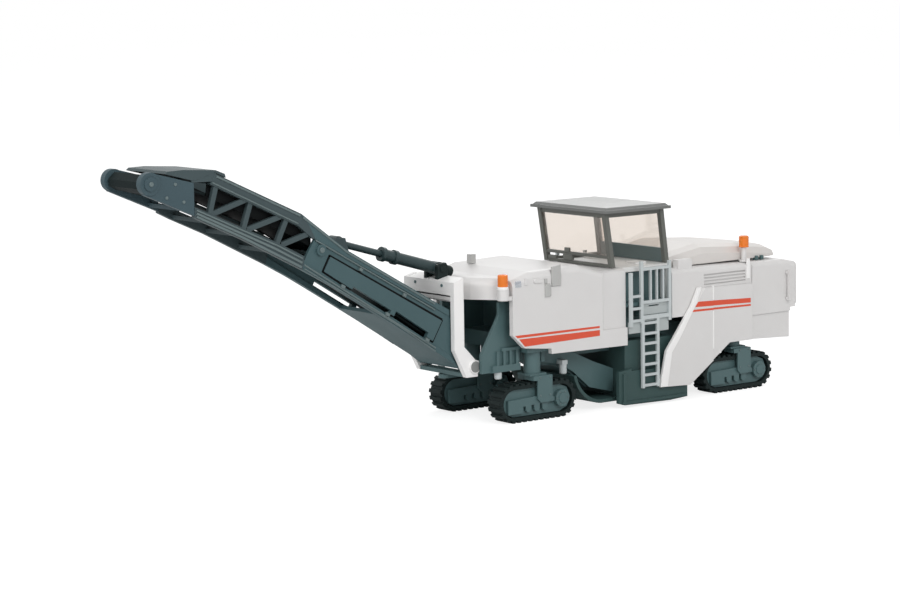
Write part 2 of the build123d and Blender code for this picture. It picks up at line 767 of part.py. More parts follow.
# Cab floor: the operator's platform between the bodies
floor_rear_x = rear_post_low_x - 0.6
floor_low = cab_floor_top - 1.1
with BuildPart() as cab_floor:
    block(floor_rear_x, bay_front_x, -cab_half_width - 0.6, cab_half_width + 0.6, floor_low, cab_floor_top)
keep(cab_floor, "cab_floor")

# Cab frame: four posts that lean forward, joined by bars below and under the roof
frame_low = cab_floor_top + gap
header_low = roof_underside - 1.0
post_inner_y = cab_half_width - post_size


def lean(low_x, high_x, z):
    """Station of a leaning post at height z."""
    return low_x + (high_x - low_x) * (z - frame_low) / (roof_underside - frame_low)


def post_outline(low_x, high_x):
    half = post_size / 2
    return [
        (low_x - half, frame_low),
        (low_x + half, frame_low),
        (high_x + half, roof_underside),
        (high_x - half, roof_underside),
    ]


def cross_bar(low_x, high_x, z_low, z_high, depth):
    """A bar from left to right in the plane of a pair of posts."""
    low = lean(low_x, high_x, z_low)
    high = lean(low_x, high_x, z_high)
    bar = [(low - depth / 2, z_low), (low + depth / 2, z_low), (high + depth / 2, z_high),
           (high - depth / 2, z_high)]
    slab(bar, -post_inner_y, post_inner_y)


bar_depth = 0.7
panel_top = 35.4
with BuildPart() as cab_frame:
    both_slabs(post_outline(front_post_low_x, front_post_high_x), post_inner_y, cab_half_width)
    both_slabs(post_outline(rear_post_low_x, rear_post_high_x), post_inner_y, cab_half_width)
    cross_bar(front_post_low_x, front_post_high_x, frame_low, frame_low + 0.7, bar_depth)
    cross_bar(front_post_low_x, front_post_high_x, 34.1, 34.8, bar_depth)
    cross_bar(front_post_low_x, front_post_high_x, header_low, roof_underside, bar_depth)
    cross_bar(rear_post_low_x, rear_post_high_x, header_low, roof_underside, bar_depth)
    side_header = [
        (lean(rear_post_low_x, rear_post_high_x, header_low), header_low),
        (lean(front_post_low_x, front_post_high_x, header_low), header_low),
        (front_post_high_x, roof_underside),
        (rear_post_high_x, roof_underside),
    ]
    both_slabs(side_header, post_inner_y + 0.2, cab_half_width - 0.2)
    far_sill = [
        (lean(rear_post_low_x, rear_post_high_x, frame_low), frame_low),
        (lean(front_post_low_x, front_post_high_x, frame_low), frame_low),
        (lean(front_post_low_x, front_post_high_x, frame_low + 0.7), frame_low + 0.7),
        (lean(rear_post_low_x, rear_post_high_x, frame_low + 0.7), frame_low + 0.7),
    ]
    slab(far_sill, -cab_half_width + 0.2, -post_inner_y - 0.2)
keep(cab_frame, "cab_frame")

# Rear wall below the window
rear_panel_y = post_inner_y - gap
with BuildPart() as cab_rear_panel:
    low_x = lean(rear_post_low_x, rear_post_high_x, frame_low)
    high_x = lean(rear_post_low_x, rear_post_high_x, panel_top)
    panel = [
        (low_x - bar_depth / 2, frame_low),
        (low_x + bar_depth / 2, frame_low),
        (high_x + bar_depth / 2, panel_top),
        (high_x - bar_depth / 2, panel_top),
    ]
    slab(panel, -rear_panel_y, rear_panel_y)
keep(cab_rear_panel, "cab_rear_panel")

# Glazing: the windscreen and the rear window, clear panes in the planes of the posts
pane_thickness = 0.4


def make_pane(low_x, high_x, z_low, z_high):
    with BuildPart() as pane:
        low = lean(low_x, high_x, z_low)
        high = lean(low_x, high_x, z_high)
        half = pane_thickness / 2
        sheet = [(low - half, z_low), (low + half, z_low), (high + half, z_high), (high - half, z_high)]
        slab(sheet, -rear_panel_y, rear_panel_y)
    return pane


keep(make_pane(front_post_low_x, front_post_high_x, 34.8 + gap, header_low - gap), "windscreen")
keep(make_pane(rear_post_low_x, rear_post_high_x, panel_top + gap, header_low - gap), "rear_window")

# Roof: a thin slab with a shallow raised middle and a lip all round
roof_rear_x = rear_post_high_x - 1.6
roof_front_x = front_post_high_x + 1.5
with BuildPart() as cab_roof:
    roof_middle = (roof_front_x + roof_rear_x) / 2
    with BuildSketch(level(roof_underside + gap)):
        with Locations((roof_middle, 0)):
            Rectangle(roof_front_x - roof_rear_x, 2 * roof_half_width)
    extrude(amount=roof_thickness * 0.6)
    with BuildSketch(level(roof_underside + gap + roof_thickness * 0.6)):
        with Locations((roof_middle, 0)):
            Rectangle(roof_front_x - roof_rear_x - 0.8, 2 * roof_half_width - 0.8)
    extrude(amount=roof_thickness * 0.5, taper=45)
    with BuildSketch(level(roof_underside + gap + roof_thickness)):
        with Locations((roof_middle, 0)):
            Rectangle(9.0, 14.0)
    extrude(amount=0.6, taper=20)
keep(cab_roof, "cab_roof")

# Seat and control desk inside the cab
with BuildPart() as operator_seat:
    seat_x = 3.2
    for hand in (1, -1):
        seat_y = hand * 7.6
        block(seat_x - 1.6, seat_x + 1.6, seat_y - 1.7, seat_y + 1.7, frame_low + 1.2, frame_low + 2.2)
        block(seat_x - 2.2, seat_x - 1.4, seat_y - 1.7, seat_y + 1.7, frame_low + 1.2, frame_low + 5.6)
        block(seat_x - 0.8, seat_x + 0.8, seat_y - 0.8, seat_y + 0.8, frame_low, frame_low + 1.2)
keep(operator_seat, "operator_seats")

with BuildPart() as control_desk:
    desk_front_x = front_post_low_x - 2.5
    desk = [
        (desk_front_x - 2.2, frame_low),
        (desk_front_x, frame_low),
        (desk_front_x, 35.0),
        (desk_front_x - 0.8, 36.2),
        (desk_front_x - 2.2, 35.4),
    ]
    slab(desk, -8.6, 8.6)
keep(control_desk, "control_desk")

# Lamps and beacons
with BuildPart() as lamp_block:
    lamp_front_x = front_face_x - 5.1
    block(lamp_front_x - 1.4, lamp_front_x, -8.3, -6.8, front_top + 0.05 + gap, front_top + 2.2)
keep(lamp_block, "work_lamp")

beacon_radius = 1.15
front_beacon = (front_face_x + 1.8, body_half_width - 1.0, nose_low + 0.1)
rear_beacon = (panel_seam_x + 1.1, body_half_width - 1.4, rear_top)
with BuildPart() as beacon_bases:
    x, y, z = front_beacon
    upright_rod(x, y, 1.3, z, z + 2.4)
    block(front_face_x + gap, x, y + 0.1, y + 1.0, z, z + 0.9)
    x, y, z = rear_beacon
    upright_rod(x, y, 0.6, z + gap, z + 3.4)
    upright_rod(x, y, 1.2, z + gap, z + 0.6)
keep(beacon_bases, "beacon_bases")

with BuildPart() as beacons:
    x, y, z = front_beacon
    upright_rod(x + 0.1, y, beacon_radius, z + 2.4 + gap, z + 5.0)
    x, y, z = rear_beacon
    upright_rod(x, y, beacon_radius, z + 3.4 + gap, z + 5.9)
keep(beacons, "beacon_lenses")

# Grab rail on the rear corner, left and right
with BuildPart() as grab_rails:
    grab_x = rear_face_x + 3.6
    grab_y = body_half_width + 0.9
    both_blocks(grab_x - 0.3, grab_x + 0.3, grab_y - 0.3, grab_y + 0.3, 20.3, 27.5)
    for boss_z in (20.5, 26.7):
        both_blocks(grab_x - 0.4, grab_x + 0.4, body_half_width + gap, grab_y, boss_z, boss_z + 0.7)
keep(grab_rails, "grab_rails")


# Conveyor yoke: the white bracket that swings on the front of the machine.
# Its cheeks carry the conveyor's foot below and the lift cylinder above.
cheek_inner_y = conveyor_half_width + 0.35
cheek_outer_y = cheek_inner_y + 1.3
cheek_front_x = slew_x + 4.2
cheek_rear_x = slew_x + 1.5
beam_rear_x = slew_x + 0.7
yoke_top = 33.0
yoke_beam_low = 28.4
foot_boss_radius = 1.5
foot_pin_radius = 0.7

yoke_foot_low = low_tongue_z + tongue_thickness + tongue_clearance
yoke_foot_high = yoke_foot_low + 0.9
lug_half_width = 1.3
lug_rear_x = slew_x - 1.0

with BuildPart() as conveyor_yoke:
    cheek = [
        (cheek_rear_x, yoke_top),
        (cheek_front_x, yoke_top - 0.8),
        (cheek_front_x, 17.2),
        (foot_x + 2.2, yoke_foot_low),
        (foot_x - 0.9, yoke_foot_low),
        (foot_x - 0.9, foot_z + 0.9),
        (cheek_rear_x, 17.8),
    ]
    both_slabs(cheek, cheek_inner_y, cheek_outer_y)
    beam = [
        (beam_rear_x, yoke_top),
        (cheek_front_x, yoke_top - 0.8),
        (cheek_front_x, yoke_beam_low + 0.6),
        (beam_rear_x, yoke_beam_low),
    ]
    slab(beam, -cheek_inner_y, cheek_inner_y)
    # ears for the cylinder's base pin
    ear = [
        (cylinder_base_x - 1.3, yoke_top - 0.8),
        (cylinder_base_x + 1.3, yoke_top - 0.8),
        (cylinder_base_x + 1.0, cylinder_base_z + 1.0),
        (cylinder_base_x - 1.0, cylinder_base_z + 1.0),
    ]
    both_slabs(ear, ear_inner_y, ear_inner_y + 0.8)
    crosswise_rod(cylinder_base_x, cylinder_base_z, base_pin_radius, -ear_inner_y - 0.4, ear_inner_y + 0.4)
    # foot pins, one from each cheek into the conveyor's side
    for hand in (1, -1):
        pin_y = sorted((hand * (cheek_inner_y - 0.9), hand * (cheek_outer_y + 0.4)))
        crosswise_rod(foot_x, foot_z, foot_pin_radius, pin_y[0], pin_y[1])
        boss_y = sorted((hand * (cheek_outer_y - 0.2), hand * (cheek_outer_y + 0.4)))
        crosswise_rod(foot_x, foot_z, foot_boss_radius, boss_y[0], boss_y[1])
    # notch for the nose's tongue, with a lug above and below it and the swing pin between
    notch_low = high_tongue_z - tongue_clearance
    notch_high = high_tongue_z + tongue_thickness + tongue_clearance
    notch_front = slew_x + tongue_radius + 0.3
    block(beam_rear_x - 1, notch_front, -2.4, 2.4, notch_low, notch_high, Mode.SUBTRACT)
    block(lug_rear_x, notch_front, -lug_half_width, lug_half_width, notch_low - 0.9, notch_low)
    block(lug_rear_x, notch_front, -lug_half_width, lug_half_width, notch_high, notch_high + 0.9)
    upright_rod(slew_x, 0, swing_pin_radius, notch_low, notch_high)
keep(conveyor_yoke, "conveyor_yoke")

# Yoke sill: the cross bar between the cheeks' feet, with the lower swing pin
with BuildPart() as yoke_sill:
    sill_y = cheek_inner_y - gap
    block(foot_x - 0.4, foot_x + 2.2, -sill_y, sill_y, yoke_foot_low, yoke_foot_high)
    upright_rod(slew_x, 0, swing_pin_radius, low_tongue_z, yoke_foot_high)
keep(yoke_sill, "yoke_sill")

# Lift cylinder: barrel on the yoke's base pin, rod to the eye on the conveyor
stroke_x = cylinder_eye_x - cylinder_base_x
stroke_z = cylinder_eye_z - cylinder_base_z
cylinder_length = hypot(stroke_x, stroke_z)
cylinder_tilt = degrees(atan2(stroke_z, stroke_x))
barrel_radius = 1.3
barrel_length = 15.6
rod_radius = 0.75
eye_radius = 1.4


def along_cylinder(distance):
    """Cross plane of the cylinder at a distance from its base pin."""
    tilt = radians(cylinder_tilt)
    origin = (
        mid_x + cylinder_base_x + distance * cos(tilt),
        0,
        cylinder_base_z + distance * sin(tilt),
    )
    return Plane(origin=origin, x_dir=(0, 1, 0), z_dir=(cos(tilt), 0, sin(tilt)))


with BuildPart() as cylinder_barrel:
    with BuildSketch(along_cylinder(0)):
        Circle(barrel_radius)
    extrude(amount=barrel_length)
    crosswise_rod(cylinder_base_x, cylinder_base_z, barrel_radius + 0.15, -ear_inner_y + 0.1,
                  ear_inner_y - 0.1)
    for collar in (barrel_length - 1.0, barrel_length - 4.4):
        with BuildSketch(along_cylinder(collar)):
            Circle(barrel_radius + 0.3)
        extrude(amount=1.0)
    with BuildSketch(along_cylinder(3.0)):
        Circle(rod_radius + swing_fit)
    extrude(amount=barrel_length, mode=Mode.SUBTRACT)
    crosswise_rod(cylinder_base_x, cylinder_base_z, base_pin_radius + swing_fit, -3, 3, Mode.SUBTRACT)
keep(cylinder_barrel, "cylinder_barrel")

with BuildPart() as cylinder_rod:
    with BuildSketch(along_cylinder(6.5)):
        Circle(rod_radius)
    extrude(amount=cylinder_length - 6.5)
    crosswise_rod(cylinder_eye_x, cylinder_eye_z, eye_radius, -ear_inner_y + 0.2, ear_inner_y - 0.2)
    crosswise_rod(cylinder_eye_x, cylinder_eye_z, eye_bore_radius, -3, 3, Mode.SUBTRACT)
keep(cylinder_rod, "cylinder_rod")

# Conveyor side frames: corner tables in side view, forward and up from the foot pin
frame_inner_y = conveyor_half_width - plate_thickness
chord_inner_y = conveyor_half_width - 1.2
chord_outer_y = conveyor_half_width + 0.2
box_plate = [(-1.0, -1.0), (2.6, -0.6), (5.7, 3.0), (43.6, 26.6), (40.6, 31.2), (5.6, 11.6),
             (4.4, 9.4), (-1.0, 1.2)]
upper_rail = [(5.6, 11.6), (40.6, 31.2), (42.2, 34.4), (44.0, 36.8), (32.6, 28.3), (8.4, 14.5), (5.6, 13.0)]
lower_rail = [(2.8, -0.4), (5.0, 1.3), (20.2, 10.9), (36.9, 21.1), (44.0, 25.0), (43.6, 26.6), (5.7, 3.0)]
belly = [(2.8, -0.4), (5.0, 1.3), (20.2, 10.9), (25.0, 13.8), (24.6, 14.5), (19.8, 11.6),
         (4.6, 2.0), (2.2, 0.2)]
top_chord = [(42.2, 34.4), (44.0, 36.8), (64.9, 46.5), (66.2, 44.4), (44.6, 34.2), (41.6, 31.6),
             (40.6, 31.2)]
bottom_chord = [
    (44.0, 25.0),
    (58.8, 32.6),
    (67.0, 36.3),
    (70.0, 37.8),
    (70.0, 40.0),
    (50.3, 31.3),
    (43.4, 27.8),
    (43.6, 26.6),
]
posts = [
    # top: forward, up; bottom: forward, up
    (64.5, 44.4, 66.4, 37.8),
    (56.1, 40.7, 58.3, 34.4),
    (47.3, 36.4, 50.3, 30.4),
]
diagonals = [
    (65.8, 38.2, 56.9, 40.8),
    (57.4, 34.4, 48.5, 36.7),
    (49.0, 30.6, 41.6, 32.6),
]
cross_members = [(10.0, 8.4), (20.0, 14.6), (30.0, 20.8), (40.0, 27.2)]
bar_width = 1.1
cross_bar_half = 0.45
access_cover = [(7.7, 10.8), (10.3, 6.6), (38.6, 24.2), (36.9, 27.2)]
cover_proud = 0.3
cover_groove = 0.3
slots = [
    # lower end: forward, up; upper end: forward, up; width
    (11.8, 7.9, 20.4, 13.4, 1.5),
    (21.6, 13.9, 31.4, 19.9, 1.0),
]


def from_foot(points):
    """Side view points given forward and up from the conveyor's foot pin."""
    return [(foot_x + forward, foot_z + up) for forward, up in points]


def bar(x_low, z_low, x_high, z_high, width):
    """Side view outline of a straight flat bar between two points, from the foot pin."""
    length = hypot(x_high - x_low, z_high - z_low)
    across_x = -(z_high - z_low) / length * width / 2
    across_z = (x_high - x_low) / length * width / 2
    outline = [
        (x_low + across_x, z_low + across_z),
        (x_high + across_x, z_high + across_z),
        (x_high - across_x, z_high - across_z),
        (x_low - across_x, z_low - across_z),
    ]
    return from_foot(outline)


def square_bar(forward, up):
    """A square bar from the left side frame to the right one."""
    half = cross_bar_half
    corners = [(forward - half, up - half), (forward + half, up - half),
               (forward + half, up + half), (forward - half, up + half)]
    slab(from_foot(corners), -chord_inner_y, chord_inner_y)


fold_boss = (foot_x + 39.2, foot_z + 28.8)
foot_bore_boss = 1.25
with BuildPart() as conveyor_box:
    both_slabs(from_foot(box_plate), frame_inner_y, conveyor_half_width)
    both_slabs(from_foot(upper_rail), chord_inner_y, chord_outer_y)
    both_slabs(from_foot(lower_rail), chord_inner_y, chord_outer_y)
    # cross members under the belt and the belly plate
    for forward, up in cross_members:
        member = [(forward, up), (forward + 0.9, up + 0.6), (forward + 0.5, up + 1.3),
                  (forward - 0.4, up + 0.7)]
        slab(from_foot(member), -frame_inner_y, frame_inner_y)
    slab(from_foot(belly), -chord_inner_y, chord_inner_y)
    # access cover on each side, proud of a groove all round it, with two slots in its lower edge
    for hand in (1, -1):
        groove_y = sorted((hand * (conveyor_half_width - cover_groove), hand * (conveyor_half_width + 2)))
        with BuildSketch(side(groove_y[1])) as groove_face:
            Polygon(*from_foot(access_cover), align=None)
            offset(amount=cover_groove, kind=Kind.INTERSECTION)
        extrude(groove_face.sketch, amount=groove_y[1] - groove_y[0], dir=side().z_dir, mode=Mode.SUBTRACT)
    both_slabs(from_foot(access_cover), conveyor_half_width - cover_groove,
               conveyor_half_width + cover_proud)
    for slot in slots:
        both_slabs(bar(*slot), frame_inner_y - 1, conveyor_half_width + 1, Mode.SUBTRACT)
    # blind bores for the foot pins
    for hand in (1, -1):
        bore_y = sorted((hand * (frame_inner_y - 1), hand * (conveyor_half_width + 1)))
        crosswise_rod(foot_x, foot_z, foot_bore_boss,
                      *sorted((hand * frame_inner_y, hand * conveyor_half_width)))
        crosswise_rod(foot_x, foot_z, foot_pin_radius + swing_fit, bore_y[0], bore_y[1], Mode.SUBTRACT)
        boss_y = sorted((hand * (conveyor_half_width - 0.1), hand * (conveyor_half_width + 0.5)))
        crosswise_prism(fold_boss[0], fold_boss[1], 1.2, 12, boss_y[0], boss_y[1])
keep(conveyor_box, "conveyor_box")

with BuildPart() as conveyor_truss:
    both_slabs(from_foot(top_chord), chord_inner_y, chord_outer_y)
    both_slabs(from_foot(bottom_chord), chord_inner_y, chord_outer_y)
    for corners in posts + diagonals:
        both_slabs(bar(*corners, bar_width), chord_inner_y + 0.2, chord_outer_y - 0.2)
    for forward_top, up_top, forward_bottom, up_bottom in posts:
        square_bar(forward_top, up_top + 0.3)
        square_bar(forward_bottom, up_bottom - 1.0)
keep(conveyor_truss, "conveyor_truss")

# Conveyor head: end plates round the discharge roller
head_roller_x = foot_x + 80.4
head_roller_z = foot_z + 45.3
head_radius = 2.35
head_plate = from_foot([(70.0 + gap, 44.9), (70.0 + gap, 38.2), (81.6, 43.1), (80.4, 47.65)])
with BuildPart() as conveyor_head:
    both_slabs(head_plate, chord_inner_y, chord_outer_y)
    for hand in (1, -1):
        boss_y = sorted((hand * chord_inner_y, hand * (chord_outer_y + 0.2)))
        crosswise_rod(head_roller_x, head_roller_z, head_radius, boss_y[0], boss_y[1])
        boss_y = sorted((hand * chord_outer_y, hand * (chord_outer_y + 0.5)))
        crosswise_rod(head_roller_x, head_roller_z, head_radius - 0.9, boss_y[0], boss_y[1])
    square_bar(72.0, 39.7)
keep(conveyor_head, "conveyor_head")

# Belt: one closed loop of rubber between the head and the foot
belt_half_width = chord_inner_y - 0.5
belt_thickness = 0.5
belt_top = [(66.0, 42.4), (44.6, 32.4), (32.0, 24.8), (6.2, 8.4), (3.6, 5.4)]
belt_return = [(4.4, 3.6), (6.4, 4.7), (24.0, 16.1), (38.0, 24.8), (58.6, 35.6), (70.0, 40.6)]
belt_path = [
    (head_roller_x + 1.7, head_roller_z + 0.4),
    (head_roller_x + 0.2, head_roller_z + 1.8),
    *from_foot(belt_top),
    *from_foot(belt_return),
    (head_roller_x, head_roller_z - 1.9),
    (head_roller_x + 1.6, head_roller_z - 1.0),
]
with BuildPart() as conveyor_belt:
    with BuildSketch(side(belt_half_width)):
        Polygon(*belt_path, align=None)
        offset(amount=-belt_thickness, kind=Kind.INTERSECTION, mode=Mode.SUBTRACT)
    extrude(amount=2 * belt_half_width)
keep(conveyor_belt, "conveyor_belt")

# Cover over the upper end of the belt
cover = from_foot(
    [
        (62.4, 45.5),
        (62.6, 46.3),
        (64.8, 47.2),
        (72.4, 47.7),
        (76.2, 47.6),
        (76.8, 47.1),
        (70.0, 45.3),
        (66.9, 46.2),
        (65.0, 46.75),
    ]
)
cover_roof_low = foot_z + 46.9
with BuildPart() as head_cover:
    slab(cover, -chord_outer_y, chord_outer_y)
    block(foot_x + 58, foot_x + 78, -chord_inner_y, chord_inner_y, cover_roof_low - 10,
          cover_roof_low, Mode.SUBTRACT)
keep(head_cover, "head_cover")

# Bracket for the cylinder's eye, between the upper rails
with BuildPart() as cylinder_bracket:
    foot = [(26.4, 24.7), (34.0, 29.1), (34.6, 28.4), (27.2, 24.1)]
    slab(from_foot(foot), -chord_inner_y + gap, chord_inner_y - gap)
    ear = [(27.8, 25.2), (32.8, 28.2), (31.4, 30.4), (29.2, 30.2)]
    both_slabs(from_foot(ear), ear_inner_y, ear_inner_y + 0.8)
    crosswise_rod(cylinder_eye_x, cylinder_eye_z, eye_pin_radius, -ear_inner_y - 0.4, ear_inner_y + 0.4)
keep(cylinder_bracket, "cylinder_bracket")
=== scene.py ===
"""Looks of the plastic scale model of a cold milling machine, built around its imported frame."""

import math

import bmesh
import bpy
from mathutils import Matrix, Vector


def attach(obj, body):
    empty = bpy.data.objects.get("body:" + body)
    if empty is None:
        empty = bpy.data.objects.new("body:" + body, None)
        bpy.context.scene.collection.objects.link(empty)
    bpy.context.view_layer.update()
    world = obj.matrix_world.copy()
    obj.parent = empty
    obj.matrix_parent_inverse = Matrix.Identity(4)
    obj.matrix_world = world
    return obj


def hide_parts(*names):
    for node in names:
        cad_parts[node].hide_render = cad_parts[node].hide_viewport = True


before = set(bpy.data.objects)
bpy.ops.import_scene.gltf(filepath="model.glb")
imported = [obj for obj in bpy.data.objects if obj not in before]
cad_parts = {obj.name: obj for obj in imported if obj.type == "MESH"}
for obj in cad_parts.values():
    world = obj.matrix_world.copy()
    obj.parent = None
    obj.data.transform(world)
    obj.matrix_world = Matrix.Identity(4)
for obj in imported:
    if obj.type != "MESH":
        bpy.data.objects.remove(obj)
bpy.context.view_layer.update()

# Sizes are in millimetres. Stations along X count from the middle of the wheelbase; +X is the
# discharge end and +Y the machine's left.
MM = 0.001
MID_WHEELBASE = -46.35
HANDS = (1, -1)
SIDES = (("left", 1), ("right", -1))


def at(station, y, z):
    """A place on the model, in metres, from its station and its two other sizes."""
    return Vector(((station + MID_WHEELBASE) * MM, y * MM, z * MM))


def add_object(name, data):
    """An object that shows its data in the scene."""
    added = bpy.data.objects.new(name, data)
    bpy.context.scene.collection.objects.link(added)
    return added


# Camera, at the photograph's place and angle

SENSOR_WIDTH = 36.0
FOCAL_LENGTH = 107.3
CLIP_NEAR, CLIP_FAR = 0.01, 20.0       # metres
CAMERA_STATION, CAMERA_LEFT, CAMERA_HEIGHT = 409.44, 470.03, 103.0
VIEW_TURN = math.radians(37.29)        # from square on to the left side, towards the discharge end
VIEW_HEIGHT = math.radians(7.32)       # above the level
VIEW_ROLL = math.radians(-0.92)


def photo_camera():
    """The camera, aimed by its turn, height and roll."""
    data = bpy.data.cameras.new("camera")
    data.sensor_width = SENSOR_WIDTH
    data.lens = FOCAL_LENGTH
    data.clip_start = CLIP_NEAR
    data.clip_end = CLIP_FAR
    back = Vector((
        math.sin(VIEW_TURN) * math.cos(VIEW_HEIGHT),
        math.cos(VIEW_TURN) * math.cos(VIEW_HEIGHT),
        math.sin(VIEW_HEIGHT),
    ))
    level_right = Vector((0, 0, 1)).cross(back).normalized()
    level_up = back.cross(level_right)
    right = math.cos(VIEW_ROLL) * level_right + math.sin(VIEW_ROLL) * level_up
    up = -math.sin(VIEW_ROLL) * level_right + math.cos(VIEW_ROLL) * level_up
    turn = Matrix((right, up, back)).transposed().to_4x4()
    place = Vector((CAMERA_STATION + MID_WHEELBASE, CAMERA_LEFT, CAMERA_HEIGHT)) * MM
    camera = add_object("camera", data)
    camera.matrix_world = Matrix.Translation(place) @ turn
    return camera


bpy.context.scene.camera = photo_camera()


# Light: three soft round lamps, in a pale room

bpy.context.scene.view_settings.view_transform = "Standard"


def soft_lamp(name, place, aim, size, watts):
    """A round lamp at a place, turned to another; both places and its size are in metres."""
    data = bpy.data.lights.new(name, "AREA")
    data.shape = "DISK"
    data.size = size
    data.energy = watts
    turn = (Vector(aim) - Vector(place)).to_track_quat("-Z", "Y").to_matrix().to_4x4()
    lamp = add_object(name, data)
    lamp.matrix_world = Matrix.Translation(place) @ turn


soft_lamp("key_lamp", (0.15, 0.62, 0.46), (0, 0, 0.02), 0.35, 1.9)
soft_lamp("front_lamp", (0.65, 0.10, 0.35), (0, 0, 0.03), 0.30, 1.15)
soft_lamp("rear_lamp", (-0.45, -0.45, 0.50), (0, 0, 0.03), 0.40, 1.1)


# Materials: the whole model is moulded in polystyrene, apart from its prints and its pick tips

POLYSTYRENE_IOR = 1.59
FLOW_SIZE = 9            # length of the faint shades that the melt leaves where it flowed
GRAIN_SIZE = 0.12        # satin grain of the mould, drawn several times coarser so that it shows
LENS_RIB_SIZE = 0.8
BRUSH_SIZE = 0.3         # uneven spots of brushed paint
MIX_LIGHT, MIX_DARK, MIX_COLOUR = 6, 7, 2       # colour sockets of a Mix node


def linear(hex_colour):
    """The linear colour of an sRGB hex value."""
    channels = [int(hex_colour[i:i + 2], 16) / 255 for i in (1, 3, 5)]
    return [c / 12.92 if c <= 0.04045 else ((c + 0.055) / 1.055) ** 2.4 for c in channels] + [1.0]


def add_node(tree, kind, settings=(), links=()):
    """A node with its settings, and its links given as input name and the socket that feeds it."""
    node = tree.nodes.new(kind)
    for name, value in dict(settings).items():
        if isinstance(name, int) or name in node.inputs:
            node.inputs[name].default_value = value
        else:
            setattr(node, name, value)
    for name, socket in dict(links).items():
        tree.links.new(socket, node.inputs[name])
    return node


def new_material(name):
    """A material with an empty tree, ready for its nodes."""
    material = bpy.data.materials.new(name)
    material.use_nodes = True
    material.node_tree.nodes.clear()
    return material, material.node_tree


def moulded(name, light, dark, roughness, grain_depth=0.004, edge=0.12, shine=0.5):
    """Injection-moulded polystyrene: an even colour with faint flow shades, a fine satin grain left
    by the mould, and edges that are never quite sharp."""
    material, tree = new_material(name)
    place = add_node(tree, "ShaderNodeTexCoord").outputs["Object"]
    flow = add_node(
        tree, "ShaderNodeTexNoise", {"Scale": 1 / (FLOW_SIZE * MM), "Detail": 3.0},
        {"Vector": place},
    ).outputs["Fac"]
    shade = add_node(
        tree, "ShaderNodeMix",
        {"data_type": "RGBA", MIX_LIGHT: linear(light), MIX_DARK: linear(dark)}, {"Factor": flow},
    )
    grain = add_node(
        tree, "ShaderNodeTexNoise", {"Scale": 1 / (GRAIN_SIZE * MM), "Detail": 2.0},
        {"Vector": place},
    )
    round_edge = add_node(tree, "ShaderNodeBevel", {"samples": 4, "Radius": edge * MM})
    bump = add_node(
        tree, "ShaderNodeBump", {"Strength": 0.35, "Distance": grain_depth * MM},
        {"Height": grain.outputs["Fac"], "Normal": round_edge.outputs["Normal"]},
    )
    gloss = add_node(
        tree, "ShaderNodeMapRange", {"To Min": roughness - 0.05, "To Max": roughness + 0.06},
        {"Value": flow},
    )
    surface = add_node(
        tree, "ShaderNodeBsdfPrincipled", {"IOR": POLYSTYRENE_IOR, "Specular IOR Level": shine},
        {"Base Color": shade.outputs[MIX_COLOUR], "Roughness": gloss.outputs["Result"],
         "Normal": bump.outputs["Normal"]},
    )
    add_node(tree, "ShaderNodeOutputMaterial", links={"Surface": surface.outputs["BSDF"]})
    return material


# White parts: satin shells; the yoke in a lighter copy of the shell's white, a painted highlight
# for the light on its lit faces and rounded edges; the slightly warmer engine hood; the cab's
# floor in a lighter copy too, painted light where the cab's roof shades it
white_shell = moulded("white_polystyrene", "#e2e1e0", "#dbd9d8", 0.38)
# a lighter copy of the shell's white: painted highlight and light on the yoke and on small trim
lit_white = moulded("painted_light_white_polystyrene", "#fbfaf9", "#f5f4f3", 0.36)
hood_white = moulded("warm_white_polystyrene", "#e0dcd9", "#d8d4d0", 0.42)
# a lighter copy of the shell's white: painted light on the cab's floor, which the roof shades
lit_floor_white = moulded("painted_light_floor_polystyrene", "#ececea", "#e4e4e2", 0.45)

# Slate parts: green-grey in the shades that the photograph shows, satin and low in shine; the
# light slate is a painted highlight on ridges, clips and bolts, and the pale slate is painted
# light on the cab's shaded rear wall
slate = moulded("slate_polystyrene", "#526c6e", "#4a6466", 0.5, shine=0.4)
slate_housing = moulded("dark_slate_polystyrene", "#395251", "#334a49", 0.55, shine=0.3)
slate_truss = moulded("slate_truss_polystyrene", "#445255", "#3c4a4d", 0.5, shine=0.25)
slate_panel = moulded("slate_panel_polystyrene", "#455e62", "#3e575b", 0.5, shine=0.3)
# a lighter copy of the slate: painted highlight on the raised ridges, clips and bolt heads
highlight_slate = moulded("painted_highlight_slate_polystyrene", "#677677", "#5f6e6f", 0.5, shine=0.4)
slate_head = moulded("blue_slate_polystyrene", "#42565d", "#3b4e55", 0.5, shine=0.25)
# a lighter copy of the slate: painted light on the cab's rear wall, which lies in the cab's shade
lit_slate_wall = moulded("painted_light_slate_polystyrene", "#6c7b7c", "#647374", 0.55, shine=0.3)
cylinder_slate = moulded("cylinder_polystyrene", "#304244", "#2a3b3d", 0.45, shine=0.3)

# Grey parts: the cab and its glossier roof, the ladders and steps, the small fittings, the drum
cab_grey = moulded("grey_polystyrene", "#686a65", "#60625d", 0.45, shine=0.35)
# a paler copy of the roof's grey: painted light on the crown's top, which faces the light
lit_crown_grey = moulded("painted_light_roof_grey_polystyrene", "#a4a6a4", "#9c9e9c", 0.3, grain_depth=0.001)
cab_roof_grey = moulded("roof_grey_polystyrene", "#737573", "#6b6d6b", 0.13, grain_depth=0.001)
cap_grey = moulded("cap_grey_polystyrene", "#8b8d8b", "#838583", 0.45)
step_grey = moulded("step_grey_polystyrene", "#b4bbbb", "#acb3b3", 0.45)
ladder_grey = moulded("light_grey_polystyrene", "#c6cdce", "#bec5c6", 0.42)
lamp_grey = moulded("lamp_grey_polystyrene", "#bcbcba", "#b2b2b0", 0.4)
drum_grey = moulded("drum_polystyrene", "#3c4445", "#343b3c", 0.5)

